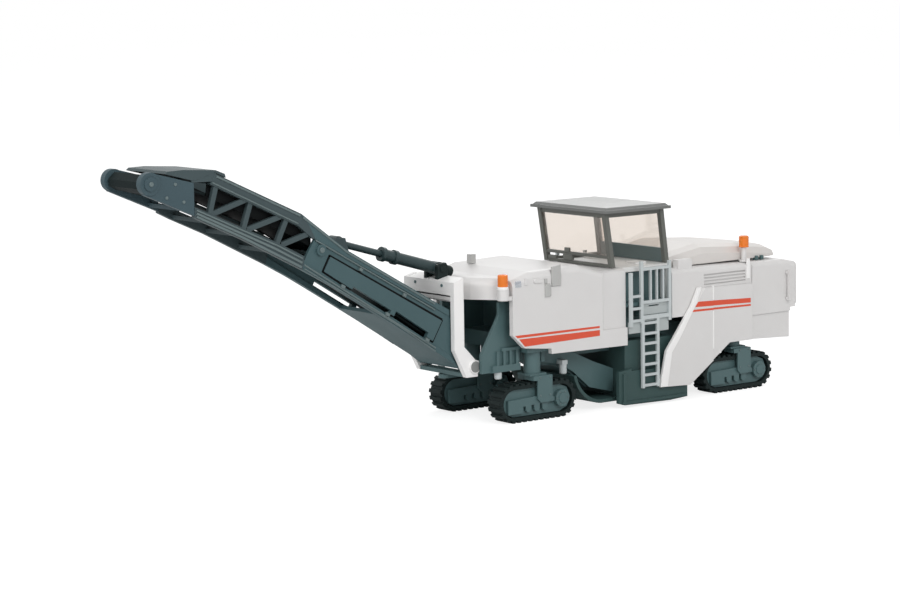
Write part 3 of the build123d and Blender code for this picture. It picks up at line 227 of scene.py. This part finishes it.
# Black parts: matt, so that the lugs and the belt hardly shine
track_black = moulded("black_polystyrene", "#1d2828", "#172121", 0.6, shine=0.15)
belt_black = moulded("matt_black_polystyrene", "#1a2425", "#141d1e", 0.7, shine=0.1)
# painted shade: black bands and sheets put where a gap or the truss's inside lies in shadow
shade_black = moulded("painted_shade_black_polystyrene", "#0b0f10", "#080b0c", 0.7, shine=0.1)

# Pad-printed enamel: thinner and glossier than the plastic below it, with crisp edges
orange_print = moulded(
    "orange_enamel_print", "#e2502c", "#da4827", 0.3, grain_depth=0.001, edge=0.02,
)


def clear_polystyrene(name, tint, haze_share):
    """Clear polystyrene pane: thin, glossy, a little warm, and it lets the inside show."""
    material, tree = new_material(name)
    clear = add_node(tree, "ShaderNodeBsdfTransparent", {"Color": linear(tint)})
    shine = add_node(
        tree, "ShaderNodeBsdfGlossy", {"Color": linear("#ffffff"), "Roughness": 0.06},
    )
    haze = add_node(tree, "ShaderNodeBsdfDiffuse", {"Color": linear("#e8e0d9")})
    edge = add_node(tree, "ShaderNodeLayerWeight", {"Blend": 0.12})
    body = add_node(
        tree, "ShaderNodeMixShader", {"Fac": haze_share},
        {1: clear.outputs["BSDF"], 2: haze.outputs["BSDF"]},
    )
    surface = add_node(
        tree, "ShaderNodeMixShader",
        links={"Fac": edge.outputs["Facing"], 1: body.outputs["Shader"], 2: shine.outputs["BSDF"]},
    )
    add_node(tree, "ShaderNodeOutputMaterial", links={"Surface": surface.outputs["Shader"]})
    return material


pane = clear_polystyrene("clear_polystyrene", "#f4efea", 0.05)
clear_marker = clear_polystyrene("clear_marker_polystyrene", "#e6eef6", 0.25)


def tinted_lens(name, colour):
    """Tinted clear polystyrene of a lamp lens: saturated, glossy, light passes into it."""
    material, tree = new_material(name)
    place = add_node(tree, "ShaderNodeTexCoord").outputs["Object"]
    ribs = add_node(
        tree, "ShaderNodeTexNoise", {"Scale": 1 / (LENS_RIB_SIZE * MM), "Detail": 1.0},
        {"Vector": place},
    )
    bump = add_node(
        tree, "ShaderNodeBump", {"Strength": 0.2, "Distance": 0.02 * MM},
        {"Height": ribs.outputs["Fac"]},
    )
    surface = add_node(
        tree, "ShaderNodeBsdfPrincipled",
        {"Base Color": linear(colour), "Roughness": 0.18, "IOR": POLYSTYRENE_IOR,
         "Subsurface Weight": 0.15, "Subsurface Radius": (0.6, 0.25, 0.05),
         "Subsurface Scale": 1.2 * MM},
        {"Normal": bump.outputs["Normal"]},
    )
    add_node(tree, "ShaderNodeOutputMaterial", links={"Surface": surface.outputs["BSDF"]})
    return material


beacon_orange = tinted_lens("orange_clear_polystyrene", "#f07c14")


def metal_paint(name, colour):
    """Steel-coloured paint brushed on the pick tips: a metal sheen, a little rough."""
    material, tree = new_material(name)
    place = add_node(tree, "ShaderNodeTexCoord").outputs["Object"]
    wear = add_node(
        tree, "ShaderNodeTexNoise", {"Scale": 1 / (BRUSH_SIZE * MM), "Detail": 2.0},
        {"Vector": place},
    )
    gloss = add_node(
        tree, "ShaderNodeMapRange", {"To Min": 0.3, "To Max": 0.5}, {"Value": wear.outputs["Fac"]},
    )
    surface = add_node(
        tree, "ShaderNodeBsdfPrincipled", {"Base Color": linear(colour), "Metallic": 1.0},
        {"Roughness": gloss.outputs["Result"]},
    )
    add_node(tree, "ShaderNodeOutputMaterial", links={"Surface": surface.outputs["BSDF"]})
    return material


pick_steel = metal_paint("steel_paint", "#8d9294")


# The frame's own parts: each gets its finish, and slate is the plastic of all that isn't named

UNITS = ["front_left", "front_right", "rear_left", "rear_right"]
FINISHES = [
    (white_shell, ["front_body", "front_nose", "rear_body", "rear_door", "side_skirt_left",
                   "side_skirt_right", "grab_rails", "beacon_bases"]),
    # the yoke in the lighter white: painted highlight on its lit faces and edges
    (lit_white, ["conveyor_yoke"]),
    (hood_white, ["engine_hood"]),
    (lit_floor_white, ["cab_floor"]),
    # the cab's floor in a lighter white: painted light
    (slate_housing, ["drum_housing", "side_shield_left", "side_shield_right", "front_apron"]),
    (slate_truss, ["conveyor_truss", "head_cover", "cylinder_bracket"]),
    (slate_panel, ["conveyor_box"]),
    (slate_head, ["conveyor_head"]),
    # the cab's rear wall in a lighter slate: painted light in the cab's shade
    (lit_slate_wall, ["cab_rear_panel"]),
    (cylinder_slate, ["cylinder_barrel", "cylinder_rod"]),
    (cab_grey, ["cab_frame"]),
    (cab_roof_grey, ["cab_roof"]),
    (ladder_grey, ["ladder_left", "ladder_right"]),
    (lamp_grey, ["work_lamp"]),
    (drum_grey, ["milling_drum"]),
    (belt_black, ["conveyor_belt"]),
    (track_black, ["track_" + unit for unit in UNITS]),
    (pane, ["windscreen", "rear_window"]),
    (beacon_orange, ["beacon_lenses"]),
]
finish_of = {name: finish for finish, names in FINISHES for name in names}
for name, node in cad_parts.items():
    node.data.materials.clear()
    node.data.materials.append(finish_of.get(name, slate))


# Small mouldings and prints on the frame

def new_piece(name, shape, finish, body):
    """A finished piece from its bmesh: faces turned outwards, on its body, with its finish."""
    bmesh.ops.recalc_face_normals(shape, faces=shape.faces[:])
    mesh = bpy.data.meshes.new(name)
    shape.to_mesh(mesh)
    shape.free()
    mesh.materials.append(finish)
    piece = add_object(name, mesh)
    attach(piece, body)
    return piece


def pulled_face(shape, places, way):
    """A face between places, pulled along a way. Gives the corners of its far end."""
    rim = [shape.verts.new(place) for place in places]
    pulled = bmesh.ops.extrude_face_region(shape, geom=[shape.faces.new(rim)])
    far = [part for part in pulled["geom"] if isinstance(part, bmesh.types.BMVert)]
    bmesh.ops.translate(shape, verts=far, vec=way)
    return far


def round_edges(shape, edges, radius):
    """Edges rounded as a mould leaves them."""
    bmesh.ops.bevel(
        shape, geom=list(edges), offset=radius * MM, offset_type="OFFSET", segments=2,
        profile=0.5, affect="EDGES", clamp_overlap=True, material=-1,
    )


def side_plate(shape, outline, y_from, y_to, rounding):
    """A side view outline in stations and heights, pulled sideways, its outer rim rounded."""
    places = [at(station, y_from, z) for station, z in outline]
    far = pulled_face(shape, places, Vector((0, (y_to - y_from) * MM, 0)))
    if rounding:
        rim = {edge for vert in far for edge in vert.link_edges if edge.other_vert(vert) in far}
        round_edges(shape, rim, rounding)


def plates_piece(name, plates, finish, body, hands=HANDS):
    """A piece of side plates, each given as outline, inner face, outer face and rounding."""
    shape = bmesh.new()
    for outline, inner, outer, rounding in plates:
        for hand in hands:
            side_plate(shape, outline, hand * inner, hand * outer, rounding)
    new_piece(name, shape, finish, body)


def rectangle(x_low, z_low, x_high, z_high):
    """Corners of an upright rectangle, or of a level one when its second sizes are its y."""
    return [(x_high, z_high), (x_low, z_high), (x_low, z_low), (x_high, z_low)]


def block(shape, low, high, rounding):
    """A small moulded block between two corners, its top and its upright edges rounded."""
    y_low, y_high = sorted((low[1], high[1]))
    places = [at(x, y, low[2]) for x, y in rectangle(low[0], y_low, high[0], y_high)]
    far = pulled_face(shape, places, Vector((0, 0, (high[2] - low[2]) * MM)))
    round_edges(shape, {edge for vert in far for edge in vert.link_edges}, rounding)


def turned(shape, centre, axis, profile, steps):
    """A form turned about an axis through its centre, from radii and heights."""
    axis = Vector(axis).normalized()
    out = axis.orthogonal().normalized()
    points = [
        shape.verts.new(centre + (out * radius + axis * height) * MM) for radius, height in profile
    ]
    edges = [shape.edges.new(pair) for pair in zip(points, points[1:])]
    bmesh.ops.spin(
        shape, geom=points + edges, cent=centre, axis=axis, angle=math.tau, steps=steps,
        use_merge=True,
    )
    bmesh.ops.remove_doubles(shape, verts=shape.verts[:], dist=0.0002 * MM)


def button(radius, height, rim):
    """Profile of a flat round head with a rounded rim, from its middle down to its seat."""
    seat = -0.05
    return [(0, height), (radius - rim, height), (radius - rim * 0.3, height - rim * 0.3),
            (radius, height - rim), (radius, seat), (0, seat)]


def heads_both_sides(shape, station, y, z, head, steps):
    """The same round head, given as radius, height and rim, on the left and on the right."""
    for hand in HANDS:
        turned(shape, at(station, hand * y, z), (0, hand, 0), button(*head), steps)


# Stripes: thin prints on the sides, each cut off along the panel that carries it

PRINT_HEIGHT = 0.03
PRINT_GRIP = 0.02
FRONT_BODY_FACE = 14.5
SKIRT_FACE = 15.4             # ahead of the skirt's seam
SKIRT_REAR_FACE = 15.1        # behind it


def stripe_prints():
    bands = [
        # face that carries it, corners as station and height
        (FRONT_BODY_FACE, [(44.7, 19.85), (20.3, 19.73), (20.3, 19.27), (44.1, 19.27)]),
        (FRONT_BODY_FACE, [(43.6, 18.97), (20.3, 18.80), (20.3, 17.50), (42.0, 17.20)]),
        (SKIRT_FACE, [(-8.95, 22.66), (-13.68, 22.48), (-13.68, 21.29), (-7.95, 21.47)]),
        (SKIRT_REAR_FACE, [(-13.72, 22.48), (-25.9, 22.00), (-25.9, 20.91), (-13.72, 21.29)]),
        (SKIRT_FACE, [(-7.5, 20.89), (-13.68, 20.77), (-13.68, 20.30), (-7.1, 20.40)]),
        (SKIRT_REAR_FACE, [(-13.72, 20.77), (-25.9, 20.55), (-25.9, 20.12), (-13.72, 20.30)]),
    ]
    plates = [(outline, face - PRINT_GRIP, face + PRINT_HEIGHT, 0) for face, outline in bands]
    for side, hand in SIDES:
        plates_piece(
            "stripe_prints_" + side, plates, orange_print, "machine", [hand],
        )


stripe_prints()


# Fittings on the front body's shoulders: a bracket with its stop, a filler lid, a latch and a
# clear marker on each side, and a taller bracket on the left only

SHOULDER_WALL = 14.45         # a little below the shell's face, so that each fitting grips it


def shoulder_fittings():
    lid = [(39.4, 31.75), (39.0, 32.0), (37.2, 31.95), (36.8, 31.7), (36.8, 31.2),
           (37.2, 30.95), (39.0, 31.0), (39.4, 31.25)]
    tall_bracket = [(34.3, 34.3), (31.75, 34.6), (31.65, 29.9), (34.25, 29.9)]
    brackets = {
        "left": [
            (rectangle(34.75, 27.7, 36.2, 30.6), SHOULDER_WALL, 14.95, 0.15),
            (rectangle(34.7, 27.9, 34.95, 30.3), SHOULDER_WALL, 15.05, 0.05),
            (tall_bracket, SHOULDER_WALL, 14.9, 0.15),
        ],
    }
    brackets["right"] = brackets["left"][:2]
    stop = [(rectangle(35.5, 30.7, 36.3, 31.8), SHOULDER_WALL, 14.75, 0.1)]
    lid_and_latch = [
        (lid, SHOULDER_WALL, 14.85, 0.15),
        (rectangle(41.1, 30.8, 41.9, 32.3), SHOULDER_WALL, 14.8, 0.12),
    ]
    marker = [(rectangle(42.9, 30.5, 44.5, 31.9), SHOULDER_WALL, 14.8, 0.2)]
    for side, hand in SIDES:
        for name, plates, finish, slot in (
            ("side_brackets_", brackets[side], lamp_grey, "lamp_grey"),
            ("bracket_stops_", stop, lamp_grey, "lamp_grey"),
            ("lid_and_latch_", lid_and_latch, white_shell, "white_shell"),
            ("side_marker_", marker, clear_marker, "cab_glass"),
        ):
            plates_piece(name + side, plates, finish, "machine", [hand])


shoulder_fittings()


# Pegs under the chassis, ahead of and behind each front column, light grey like the ladders; each
# rear one hangs from a small block

def chassis_pegs():
    pegs = [
        # station, y, top, length
        (46.4, 10.35, 11.7, 1.7),
        (27.8, 10.4, 11.6, 2.4),
    ]
    radius, tip_radius, tip_length = 0.85, 0.7, 0.2
    shape = bmesh.new()
    for hand in HANDS:
        for station, y, top, length in pegs:
            profile = [(0, 0), (radius, 0), (radius, length - tip_length), (tip_radius, length),
                       (0, length)]
            turned(shape, at(station, hand * y, top), (0, 0, -1), profile, 16)
        block(shape, (27.0, hand * 9.1, 11.4), (28.6, hand * 11.2, 12.4), 0.15)
    new_piece("chassis_pegs", shape, ladder_grey, "machine")


chassis_pegs()


# Conveyor yoke and its cylinder: caps on the foot bosses, slate ears on the cylinder's base pin,
# the barrel's end behind that pin, a deeper edge under the beam, and two screws in its face

FOOT = (52.0, 13.2)                   # station and height of the conveyor's foot pin
CYLINDER_PIN = (55.4, 34.6)           # and of the cylinder's base pin
BARREL_TILT = math.radians(16.2)      # of the cylinder's axis, at rest


def yoke_fittings():
    shape = bmesh.new()
    heads_both_sides(shape, FOOT[0], 9.55, FOOT[1], (1.25, 0.07, 0.05), 24)
    new_piece("foot_pin_caps", shape, cap_grey, "yoke")

    ear = [(53.9, 32.75), (56.8, 32.2), (56.7, 35.2), (56.2, 35.8), (54.3, 35.9), (53.9, 35.3)]
    ear_inner, ear_outer = 1.55, 2.65
    shape = bmesh.new()
    for hand in HANDS:
        side_plate(shape, ear, hand * ear_inner, hand * ear_outer, 0.25)
    heads_both_sides(shape, CYLINDER_PIN[0], ear_outer, CYLINDER_PIN[1], (0.75, 0.3, 0.12), 16)
    new_piece("cylinder_ears", shape, track_black, "yoke")

    # a thin neck behind the pin, which clears the yoke's beam at every lift, then the wide end
    barrel_end = [(0, 0.9), (0.6, 0.9), (0.6, 2.5), (1.2, 2.6), (1.3, 2.75), (1.3, 3.8),
                  (1.15, 4.2), (0.85, 4.4), (0, 4.4)]
    backwards = (-math.cos(BARREL_TILT), 0, -math.sin(BARREL_TILT))
    shape = bmesh.new()
    turned(shape, at(CYLINDER_PIN[0], 0, CYLINDER_PIN[1]), backwards, barrel_end, 24)
    new_piece("barrel_end", shape, track_black, "barrel")

    beam_edge = [(54.1, 28.7), (57.4, 29.3), (57.4, 28.2), (56.9, 27.8), (54.6, 27.55),
                 (54.1, 27.8)]
    beam_half_width = 7.84
    plates_piece(
        "yoke_beam_edge", [(beam_edge, -beam_half_width, beam_half_width, 0)], white_shell,
        "yoke", [1],
    )

    screw_y, screw_z, beam_front = 4.85, 31.3, 57.4
    shape = bmesh.new()
    for hand in HANDS:
        place = at(beam_front, hand * screw_y, screw_z)
        turned(shape, place, (1, 0, 0), button(0.36, 0.16, 0.06), 12)
    new_piece("yoke_screws", shape, slate, "yoke")


yoke_fittings()


# Conveyor: ridges on its rails and chords, in a lighter slate that paints their highlights; a
# black band round each access cover, painted shadow in the gap at its edge, with the cover's
# clips; black sheets beside the belt that close the truss, painted shade of its inside; the
# cheeks under the head cover, and the bolts

RAIL_FACE = 7.7               # outer side of the rails, the chords and the head plates
BOX_WALL = 7.4                # a little inside the lower box's side, so that its trim grips it


def from_foot(points):
    """Side view points given forward and up from the conveyor's foot pin."""
    return [(FOOT[0] + forward, FOOT[1] + up) for forward, up in points]


def band(start, end, width):
    """Side view outline of a straight band between two points given from the foot pin."""
    (x0, z0), (x1, z1) = start, end
    length = math.hypot(x1 - x0, z1 - z0)
    over_x, over_z = -(z1 - z0) / length * width / 2, (x1 - x0) / length * width / 2
    return from_foot([(x0 + over_x, z0 + over_z), (x1 + over_x, z1 + over_z),
                      (x1 - over_x, z1 - over_z), (x0 - over_x, z0 - over_z)])


def conveyor_plates(name, plates, finish):
    """A piece of plates on both sides of the conveyor."""
    plates_piece(name, plates, finish, "conveyor")


def conveyor_fittings():
    ridges = [
        # lower end and upper end from the foot pin, width
        ((9.6, 14.7), (32.4, 27.7), 0.4), ((32.4, 27.7), (43.6, 36.0), 0.4),
        ((9.6, 13.4), (40.6, 31.0), 0.3),
        ((9.6, 5.0), (43.6, 26.0), 0.35),
        ((9.6, 4.3), (20.2, 11.3), 0.25), ((20.2, 11.3), (43.6, 25.2), 0.25),
        ((44.3, 36.4), (64.7, 45.9), 0.4), ((44.9, 34.8), (65.7, 44.7), 0.3),
        ((44.3, 25.6), (58.8, 33.0), 0.5), ((58.8, 33.0), (69.6, 38.0), 0.5),
        ((44.1, 26.5), (51.0, 30.1), 0.5), ((51.0, 30.1), (69.6, 38.65), 0.5),
        ((44.0, 27.4), (50.4, 30.7), 0.35), ((50.4, 30.7), (69.6, 39.3), 0.35),
    ]
    # the ridges take the lighter slate: painted highlight on them
    conveyor_plates(
        "rail_ridges",
        [(band(*ridge), RAIL_FACE - 0.1, RAIL_FACE + 0.22, 0.08) for ridge in ridges],
        highlight_slate,
    )

    # a black band round each cover: painted shadow of the gap at the cover's edge
    gap_shadow_width, gap_shadow_depth = 0.5, 0.18
    gap_shadow_runs = [
        ((7.5, 10.95), (10.3, 6.35)), ((10.1, 6.35), (11.5, 7.2)), ((20.9, 13.05), (21.4, 13.35)),
        ((31.7, 19.75), (38.8, 24.2)), ((38.85, 24.1), (36.95, 27.45)),
        ((37.1, 27.45), (7.5, 11.0)),
    ]
    conveyor_plates(
        "cover_gap_shadows",
        [(band(*run, gap_shadow_width), BOX_WALL, BOX_WALL + gap_shadow_depth, 0) for run in gap_shadow_runs],
        shade_black,
    )

    clips = [
        # lower end from the foot pin, reach forward
        (28.8, 23.6, 0.7), (17.4, 17.1, 0.7),
        (33.4, 20.3, 0.9), (21.9, 13.3, 0.9), (11.4, 6.7, 0.9),
    ]
    clip_rise, clip_width, clip_face = 0.6, 0.75, 8.1
    conveyor_plates(
        "cover_clips",
        [(band((forward, up), (forward + reach, up + reach * clip_rise), clip_width),
          BOX_WALL, clip_face, 0.12) for forward, up, reach in clips],
        highlight_slate,
    )

    # black sheets inside the truss beside the belt: painted shade of the truss's inside
    skirt = [(40.8, 29.3), (44.6, 31.7), (66.4, 41.9), (66.0, 44.6), (44.6, 34.7), (41.6, 32.0),
             (40.8, 31.4)]
    shade_sheet_inner, shade_sheet_outer = 5.92, 6.26
    conveyor_plates(
        "truss_shade_sheets", [(from_foot(skirt), shade_sheet_inner, shade_sheet_outer, 0)], shade_black,
    )

    cheek = [(64.5, 46.6), (65.4, 44.9), (70.6, 44.95), (70.6, 46.4), (66.0, 46.9)]
    cheek_inner, cheek_outer = 6.6, 7.66
    conveyor_plates(
        "head_cover_cheeks", [(from_foot(cheek), cheek_inner, cheek_outer, 0.1)], slate_truss,
    )

    fold_boss_head, roller_head, small_head = (0.6, 0.3, 0.12), (0.5, 0.25, 0.1), (0.35, 0.18, 0.07)
    bolts = [
        # forward and up from the foot pin, face below it, head, facets
        (39.2, 28.8, 8.0, fold_boss_head, 16),
        (80.4, 45.3, 8.2, roller_head, 16),
        (74.5, 44.9, RAIL_FACE, small_head, 12),
        (76.6, 42.3, RAIL_FACE, small_head, 12),
        (72.6, 41.2, RAIL_FACE, small_head, 12),
    ]
    # the bolt heads take the lighter slate too: painted highlight
    shape = bmesh.new()
    for forward, up, face, head, steps in bolts:
        heads_both_sides(shape, FOOT[0] + forward, face, FOOT[1] + up, head, steps)
    new_piece("conveyor_bolts", shape, highlight_slate, "conveyor")


conveyor_fittings()


# Cab: a low pad on the floor where each operator sits, a low ledge under the windscreen, and the
# grip and block on the windscreen's bar

CAB_FLOOR = 31.98             # a little below the floor's top
PAD_TOP = 32.5


def cab_fittings():
    # the pads and the ledge take the floor's lighter white: painted light
    shape = bmesh.new()
    for hand in HANDS:
        block(shape, (1.6, hand * 5.9, CAB_FLOOR), (4.8, hand * 9.3, PAD_TOP), 0.15)
    pads = new_piece("operator_pads", shape, lit_floor_white, "machine")
    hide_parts("operator_seats")
    shape = bmesh.new()
    block(shape, (11.4, -8.6, CAB_FLOOR), (13.2, 8.6, PAD_TOP), 0.15)
    ledge = new_piece("windscreen_ledge", shape, lit_floor_white, "machine")
    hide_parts("control_desk")
    shape = bmesh.new()
    block(shape, (13.9, -5.0, 32.9), (14.7, -1.8, 34.15), 0.12)
    block(shape, (14.25, -4.2, 34.7), (14.95, -2.6, 35.7), 0.15)
    block(shape, (13.7, -10.7, 32.75), (14.5, -7.9, 33.5), 0.12)
    new_piece("windscreen_grip", shape, cab_grey, "machine")


cab_fittings()


# Roof: the shallow hipped crown over its raised middle, in a paler grey painted for the light on
# its top

def roof_crown():
    foot, ridge = 45.84, 46.42
    wide, narrow = (-1.3, -12.3, 16.3, 12.3), (3.3, -6.7, 11.7, 6.7)
    shape = bmesh.new()
    far = pulled_face(
        shape, [at(x, y, foot) for x, y in rectangle(*wide)], Vector((0, 0, (ridge - foot) * MM)),
    )
    # the crown's top is smaller than its foot: its corners move in, each to its own
    far.sort(key=lambda vert: (vert.co.y, vert.co.x))
    top = sorted(rectangle(*narrow), key=lambda corner: (corner[1], corner[0]))
    for vert, (x, y) in zip(far, top):
        vert.co = at(x, y, ridge)
    new_piece("roof_crown", shape, lit_crown_grey, "machine")


roof_crown()


# Beacons: a domed top and three ribs on each lens, and a white collar under the front one

FRONT_BEACON = (47.2, 13.5)           # station and y
REAR_BEACON = (-25.6, 13.1)
LENS_RADIUS = 1.1


def beacon_tops():
    lenses = [
        # place, foot and top of the lens, height of its dome
        (FRONT_BEACON, 30.3, 32.8, 0.8),
        (REAR_BEACON, 33.6, 36.3, 0.35),
    ]
    rib = [(LENS_RADIUS, -0.12), (1.19, -0.06), (1.19, 0.06), (LENS_RADIUS, 0.12),
           (LENS_RADIUS, -0.12)]
    shape = bmesh.new()
    for (station, y), foot, top, crown in lenses:
        dome = [(0, crown), (0.85, crown - 0.05), (1.05, crown - 0.15), (1.15, crown - 0.35),
                (1.15, -0.05), (0, -0.05)]
        turned(shape, at(station, y, top), (0, 0, 1), dome, 24)
        for z in (foot + 1.0, (foot + top) / 2 + 0.4, top - 0.25):
            turned(shape, at(station, y, z), (0, 0, 1), rib, 24)
    new_piece("beacon_tops", shape, beacon_orange, "machine")

    collar = [(LENS_RADIUS, 0), (1.28, 0.02), (1.28, 0.62), (1.22, 0.7), (LENS_RADIUS, 0.7),
              (LENS_RADIUS, 0)]
    collar_foot = 30.2
    shape = bmesh.new()
    turned(shape, at(*FRONT_BEACON, collar_foot), (0, 0, 1), collar, 24)
    # the collar takes the lighter copy of the white, which paints light on it
    new_piece("beacon_collar", shape, lit_white, "machine")


beacon_tops()


# Side skirts: the rim along the slanted front edge, and the ridge at the seam, both in a lighter
# white that paints a highlight on them; behind them the strap that holds the rear beacon's foot,
# in the same lighter white

def skirt_trim():
    rim = [
        (-9.1, 25.95), (-6.9, 21.9), (1.0, 12.1), (2.45, 6.1), (2.75, 3.9), (0.7, 3.9),
        (0.1, 7.2), (-0.7, 11.7), (-3.2, 14.75), (-7.2, 20.6), (-8.6, 22.75), (-10.0, 25.95),
    ]
    rim_inner, seam_inner, outer = 14.7, 15.0, 15.5
    plates = [
        (rim, rim_inner, outer, 0.08),
        (rectangle(-13.85, 22.7, -13.55, 26.0), seam_inner, outer, 0.06),
        (rectangle(-13.85, 11.2, -13.55, 20.1), seam_inner, outer, 0.06),
    ]
    for side, hand in SIDES:
        # the rims and the seam's ridge take the lighter white: painted highlight
        plates_piece("skirt_rims_" + side, plates, lit_white, "machine", [hand])
    strap_inner, strap_outer = 14.4, 14.75
    plates_piece(
        "beacon_strap", [(rectangle(-26.1, 26.6, -25.1, 31.3), strap_inner, strap_outer, 0.12)],
        lit_white, "machine", [1],
    )


skirt_trim()


# Ladders: the pale panels of the step box behind the gate and beside the ladder's top

def step_panels():
    panels = [
        # station and height of the lower rear corner, then of the upper front one
        (0.0, 20.95, 7.7, 22.8), (0.0, 22.8, 2.6, 23.6), (5.6, 22.8, 7.7, 23.6),
        (-0.4, 16.9, 2.9, 20.0), (2.9, 19.5, 7.4, 20.0), (8.2, 17.0, 11.6, 19.6),
    ]
    panel_inner, panel_outer = 14.15, 14.62
    plates = [(rectangle(*panel), panel_inner, panel_outer, 0.06) for panel in panels]
    for side, hand in SIDES:
        plates_piece("step_panels_" + side, plates, step_grey, "machine", [hand])


step_panels()


# Hood: two dark hooks at its rear foot on each side

def hood_hooks():
    half_length, inner, outer, foot, top = 0.45, 11.0, 12.0, 30.3, 31.3
    shape = bmesh.new()
    for hand in HANDS:
        for station in (-31.0, -32.7):
            block(
                shape, (station - half_length, hand * inner, foot),
                (station + half_length, hand * outer, top), 0.15,
            )
    new_piece("hood_hooks", shape, slate, "machine")


hood_hooks()


# Running gear: six bolts round each drive hub and four on each fork, on both sides of each unit

UNIT_STATIONS = {"front": 37.1, "rear": -23.7}
UNIT_Y = {"left": 10.8, "right": -10.8}
HUB_BEHIND, HUB_HEIGHT, HUB_FACE = 6.7, 4.35, 2.575
HUB_BOLT_CIRCLE = 1.5
FORK_FACE = 2.825


def unit_bolts(unit, station, y):
    shape = bmesh.new()
    for side in HANDS:
        hub = at(station - HUB_BEHIND, y + side * HUB_FACE, HUB_HEIGHT)
        for degrees in range(0, 360, 60):
            turn = math.radians(degrees)
            out = Vector((math.cos(turn), 0, math.sin(turn)))
            place = hub + out * HUB_BOLT_CIRCLE * MM
            turned(shape, place, (0, side, 0), button(0.17, 0.1, 0.04), 6)
        for ahead, z in ((-2.9, 9.6), (-0.1, 9.6), (-2.9, 5.6), (-0.1, 5.6)):
            place = at(station + ahead, y + side * FORK_FACE, z)
            turned(shape, place, (0, side, 0), button(0.22, 0.12, 0.05), 6)
    # the bolt heads take the lighter slate: painted highlight
    new_piece("unit_bolts_" + unit, shape, highlight_slate, "unit_" + unit)


for unit in UNITS:
    end, side = unit.split("_")
    unit_bolts(unit, UNIT_STATIONS[end], UNIT_Y[side])


# Drum: a pointed tip at the leading edge of each pick, in two starts that wind out from the middle

DRUM_STATION, DRUM_HEIGHT = 4.0, 6.6
PICK_ROWS = 12
PICK_SPAN = 9.8               # from the first row to where one more row would be
FIRST_ROW = 0.8
PICK_STARTS = 2
ROW_TURN = 36                 # degrees from one row to the next
PICK_REACH = 4.9              # from the drum's axis to the foot of the tip


def pick_tips():
    tip = [(0, -0.3), (0.42, -0.3), (0.42, 0.1), (0.25, 0.25), (0.2, 0.6), (0, 0.85)]
    shape = bmesh.new()
    for row in range(PICK_ROWS):
        for end in HANDS:
            y = end * (FIRST_ROW + row * PICK_SPAN / PICK_ROWS)
            for start in range(PICK_STARTS):
                turn = math.radians(360 / PICK_STARTS * start + row * ROW_TURN)
                out = Vector((math.cos(turn), 0, math.sin(turn)))
                ahead = Vector((-math.sin(turn), 0, math.cos(turn)))
                foot = at(DRUM_STATION, y, DRUM_HEIGHT) + (out * PICK_REACH + ahead * 0.05) * MM
                turned(shape, foot, out * 0.75 + ahead * 0.65, tip, 8)
    new_piece("pick_tips", shape, pick_steel, "drum")


pick_tips()


# Floor and room: pale, and white to the camera, with the model's shadow kept on the floor

FLOOR_SIZE = 6.0              # metres from its middle to its edge
FLOOR_TONE = 0.84             # of the floor as it lights the model
SEEN_TONE = 0.39              # of the floor as the camera sees it, where its glow comes on top
FLOOR_GLOW = 0.8
CLOUD_TONE = 0.02             # faint unevenness of the floor
ROOM_LIGHT, ROOM_WHITE = 0.5, 1.0      # of the room as it lights the model, and as it is seen


def pale_floor():
    """A plain pale floor that the camera sees as white, with the model's shadow on it."""
    mesh = bpy.data.meshes.new("floor")
    shape = bmesh.new()
    bmesh.ops.create_grid(shape, x_segments=1, y_segments=1, size=FLOOR_SIZE)
    shape.to_mesh(mesh)
    shape.free()
    floor = add_object("floor", mesh)
    material, tree = new_material("pale_floor")
    place = add_node(tree, "ShaderNodeTexCoord").outputs["Object"]
    cloud = add_node(tree, "ShaderNodeTexNoise", {"Scale": 3.0}, {"Vector": place})
    seen = add_node(tree, "ShaderNodeLightPath").outputs["Is Camera Ray"]
    base_tone = add_node(
        tree, "ShaderNodeMapRange", {"To Min": FLOOR_TONE, "To Max": SEEN_TONE}, {"Value": seen},
    )
    tone = add_node(
        tree, "ShaderNodeMath", {"operation": "MULTIPLY_ADD", 1: CLOUD_TONE},
        {0: cloud.outputs["Fac"], 2: base_tone.outputs["Result"]},
    )
    matt = add_node(tree, "ShaderNodeBsdfDiffuse", links={"Color": tone.outputs[0]})
    glow_level = add_node(
        tree, "ShaderNodeMath", {"operation": "MULTIPLY", 1: FLOOR_GLOW}, {0: seen},
    )
    glow = add_node(tree, "ShaderNodeEmission", links={"Strength": glow_level.outputs[0]})
    surface = add_node(
        tree, "ShaderNodeAddShader", links={0: matt.outputs["BSDF"], 1: glow.outputs["Emission"]},
    )
    add_node(tree, "ShaderNodeOutputMaterial", links={"Surface": surface.outputs["Shader"]})
    mesh.materials.append(material)


def pale_room():
    """A room of even light, white where the camera, a gloss or a pane looks at it."""
    world = bpy.data.worlds.new("pale_room")
    bpy.context.scene.world = world
    world.use_nodes = True
    tree = world.node_tree
    tree.nodes.clear()
    ray = add_node(tree, "ShaderNodeLightPath")
    seen = add_node(
        tree, "ShaderNodeMath", {"operation": "MAXIMUM"},
        {0: ray.outputs["Is Camera Ray"], 1: ray.outputs["Is Glossy Ray"]},
    )
    seen_through = add_node(
        tree, "ShaderNodeMath", {"operation": "MAXIMUM"},
        {0: seen.outputs[0], 1: ray.outputs["Is Transmission Ray"]},
    )
    strength = add_node(
        tree, "ShaderNodeMapRange", {"To Min": ROOM_LIGHT, "To Max": ROOM_WHITE},
        {"Value": seen_through.outputs[0]},
    )
    room = add_node(
        tree, "ShaderNodeBackground", {"Color": linear("#ffffff")},
        {"Strength": strength.outputs["Result"]},
    )
    add_node(tree, "ShaderNodeOutputWorld", links={"Surface": room.outputs["Background"]})


pale_floor()
pale_room()
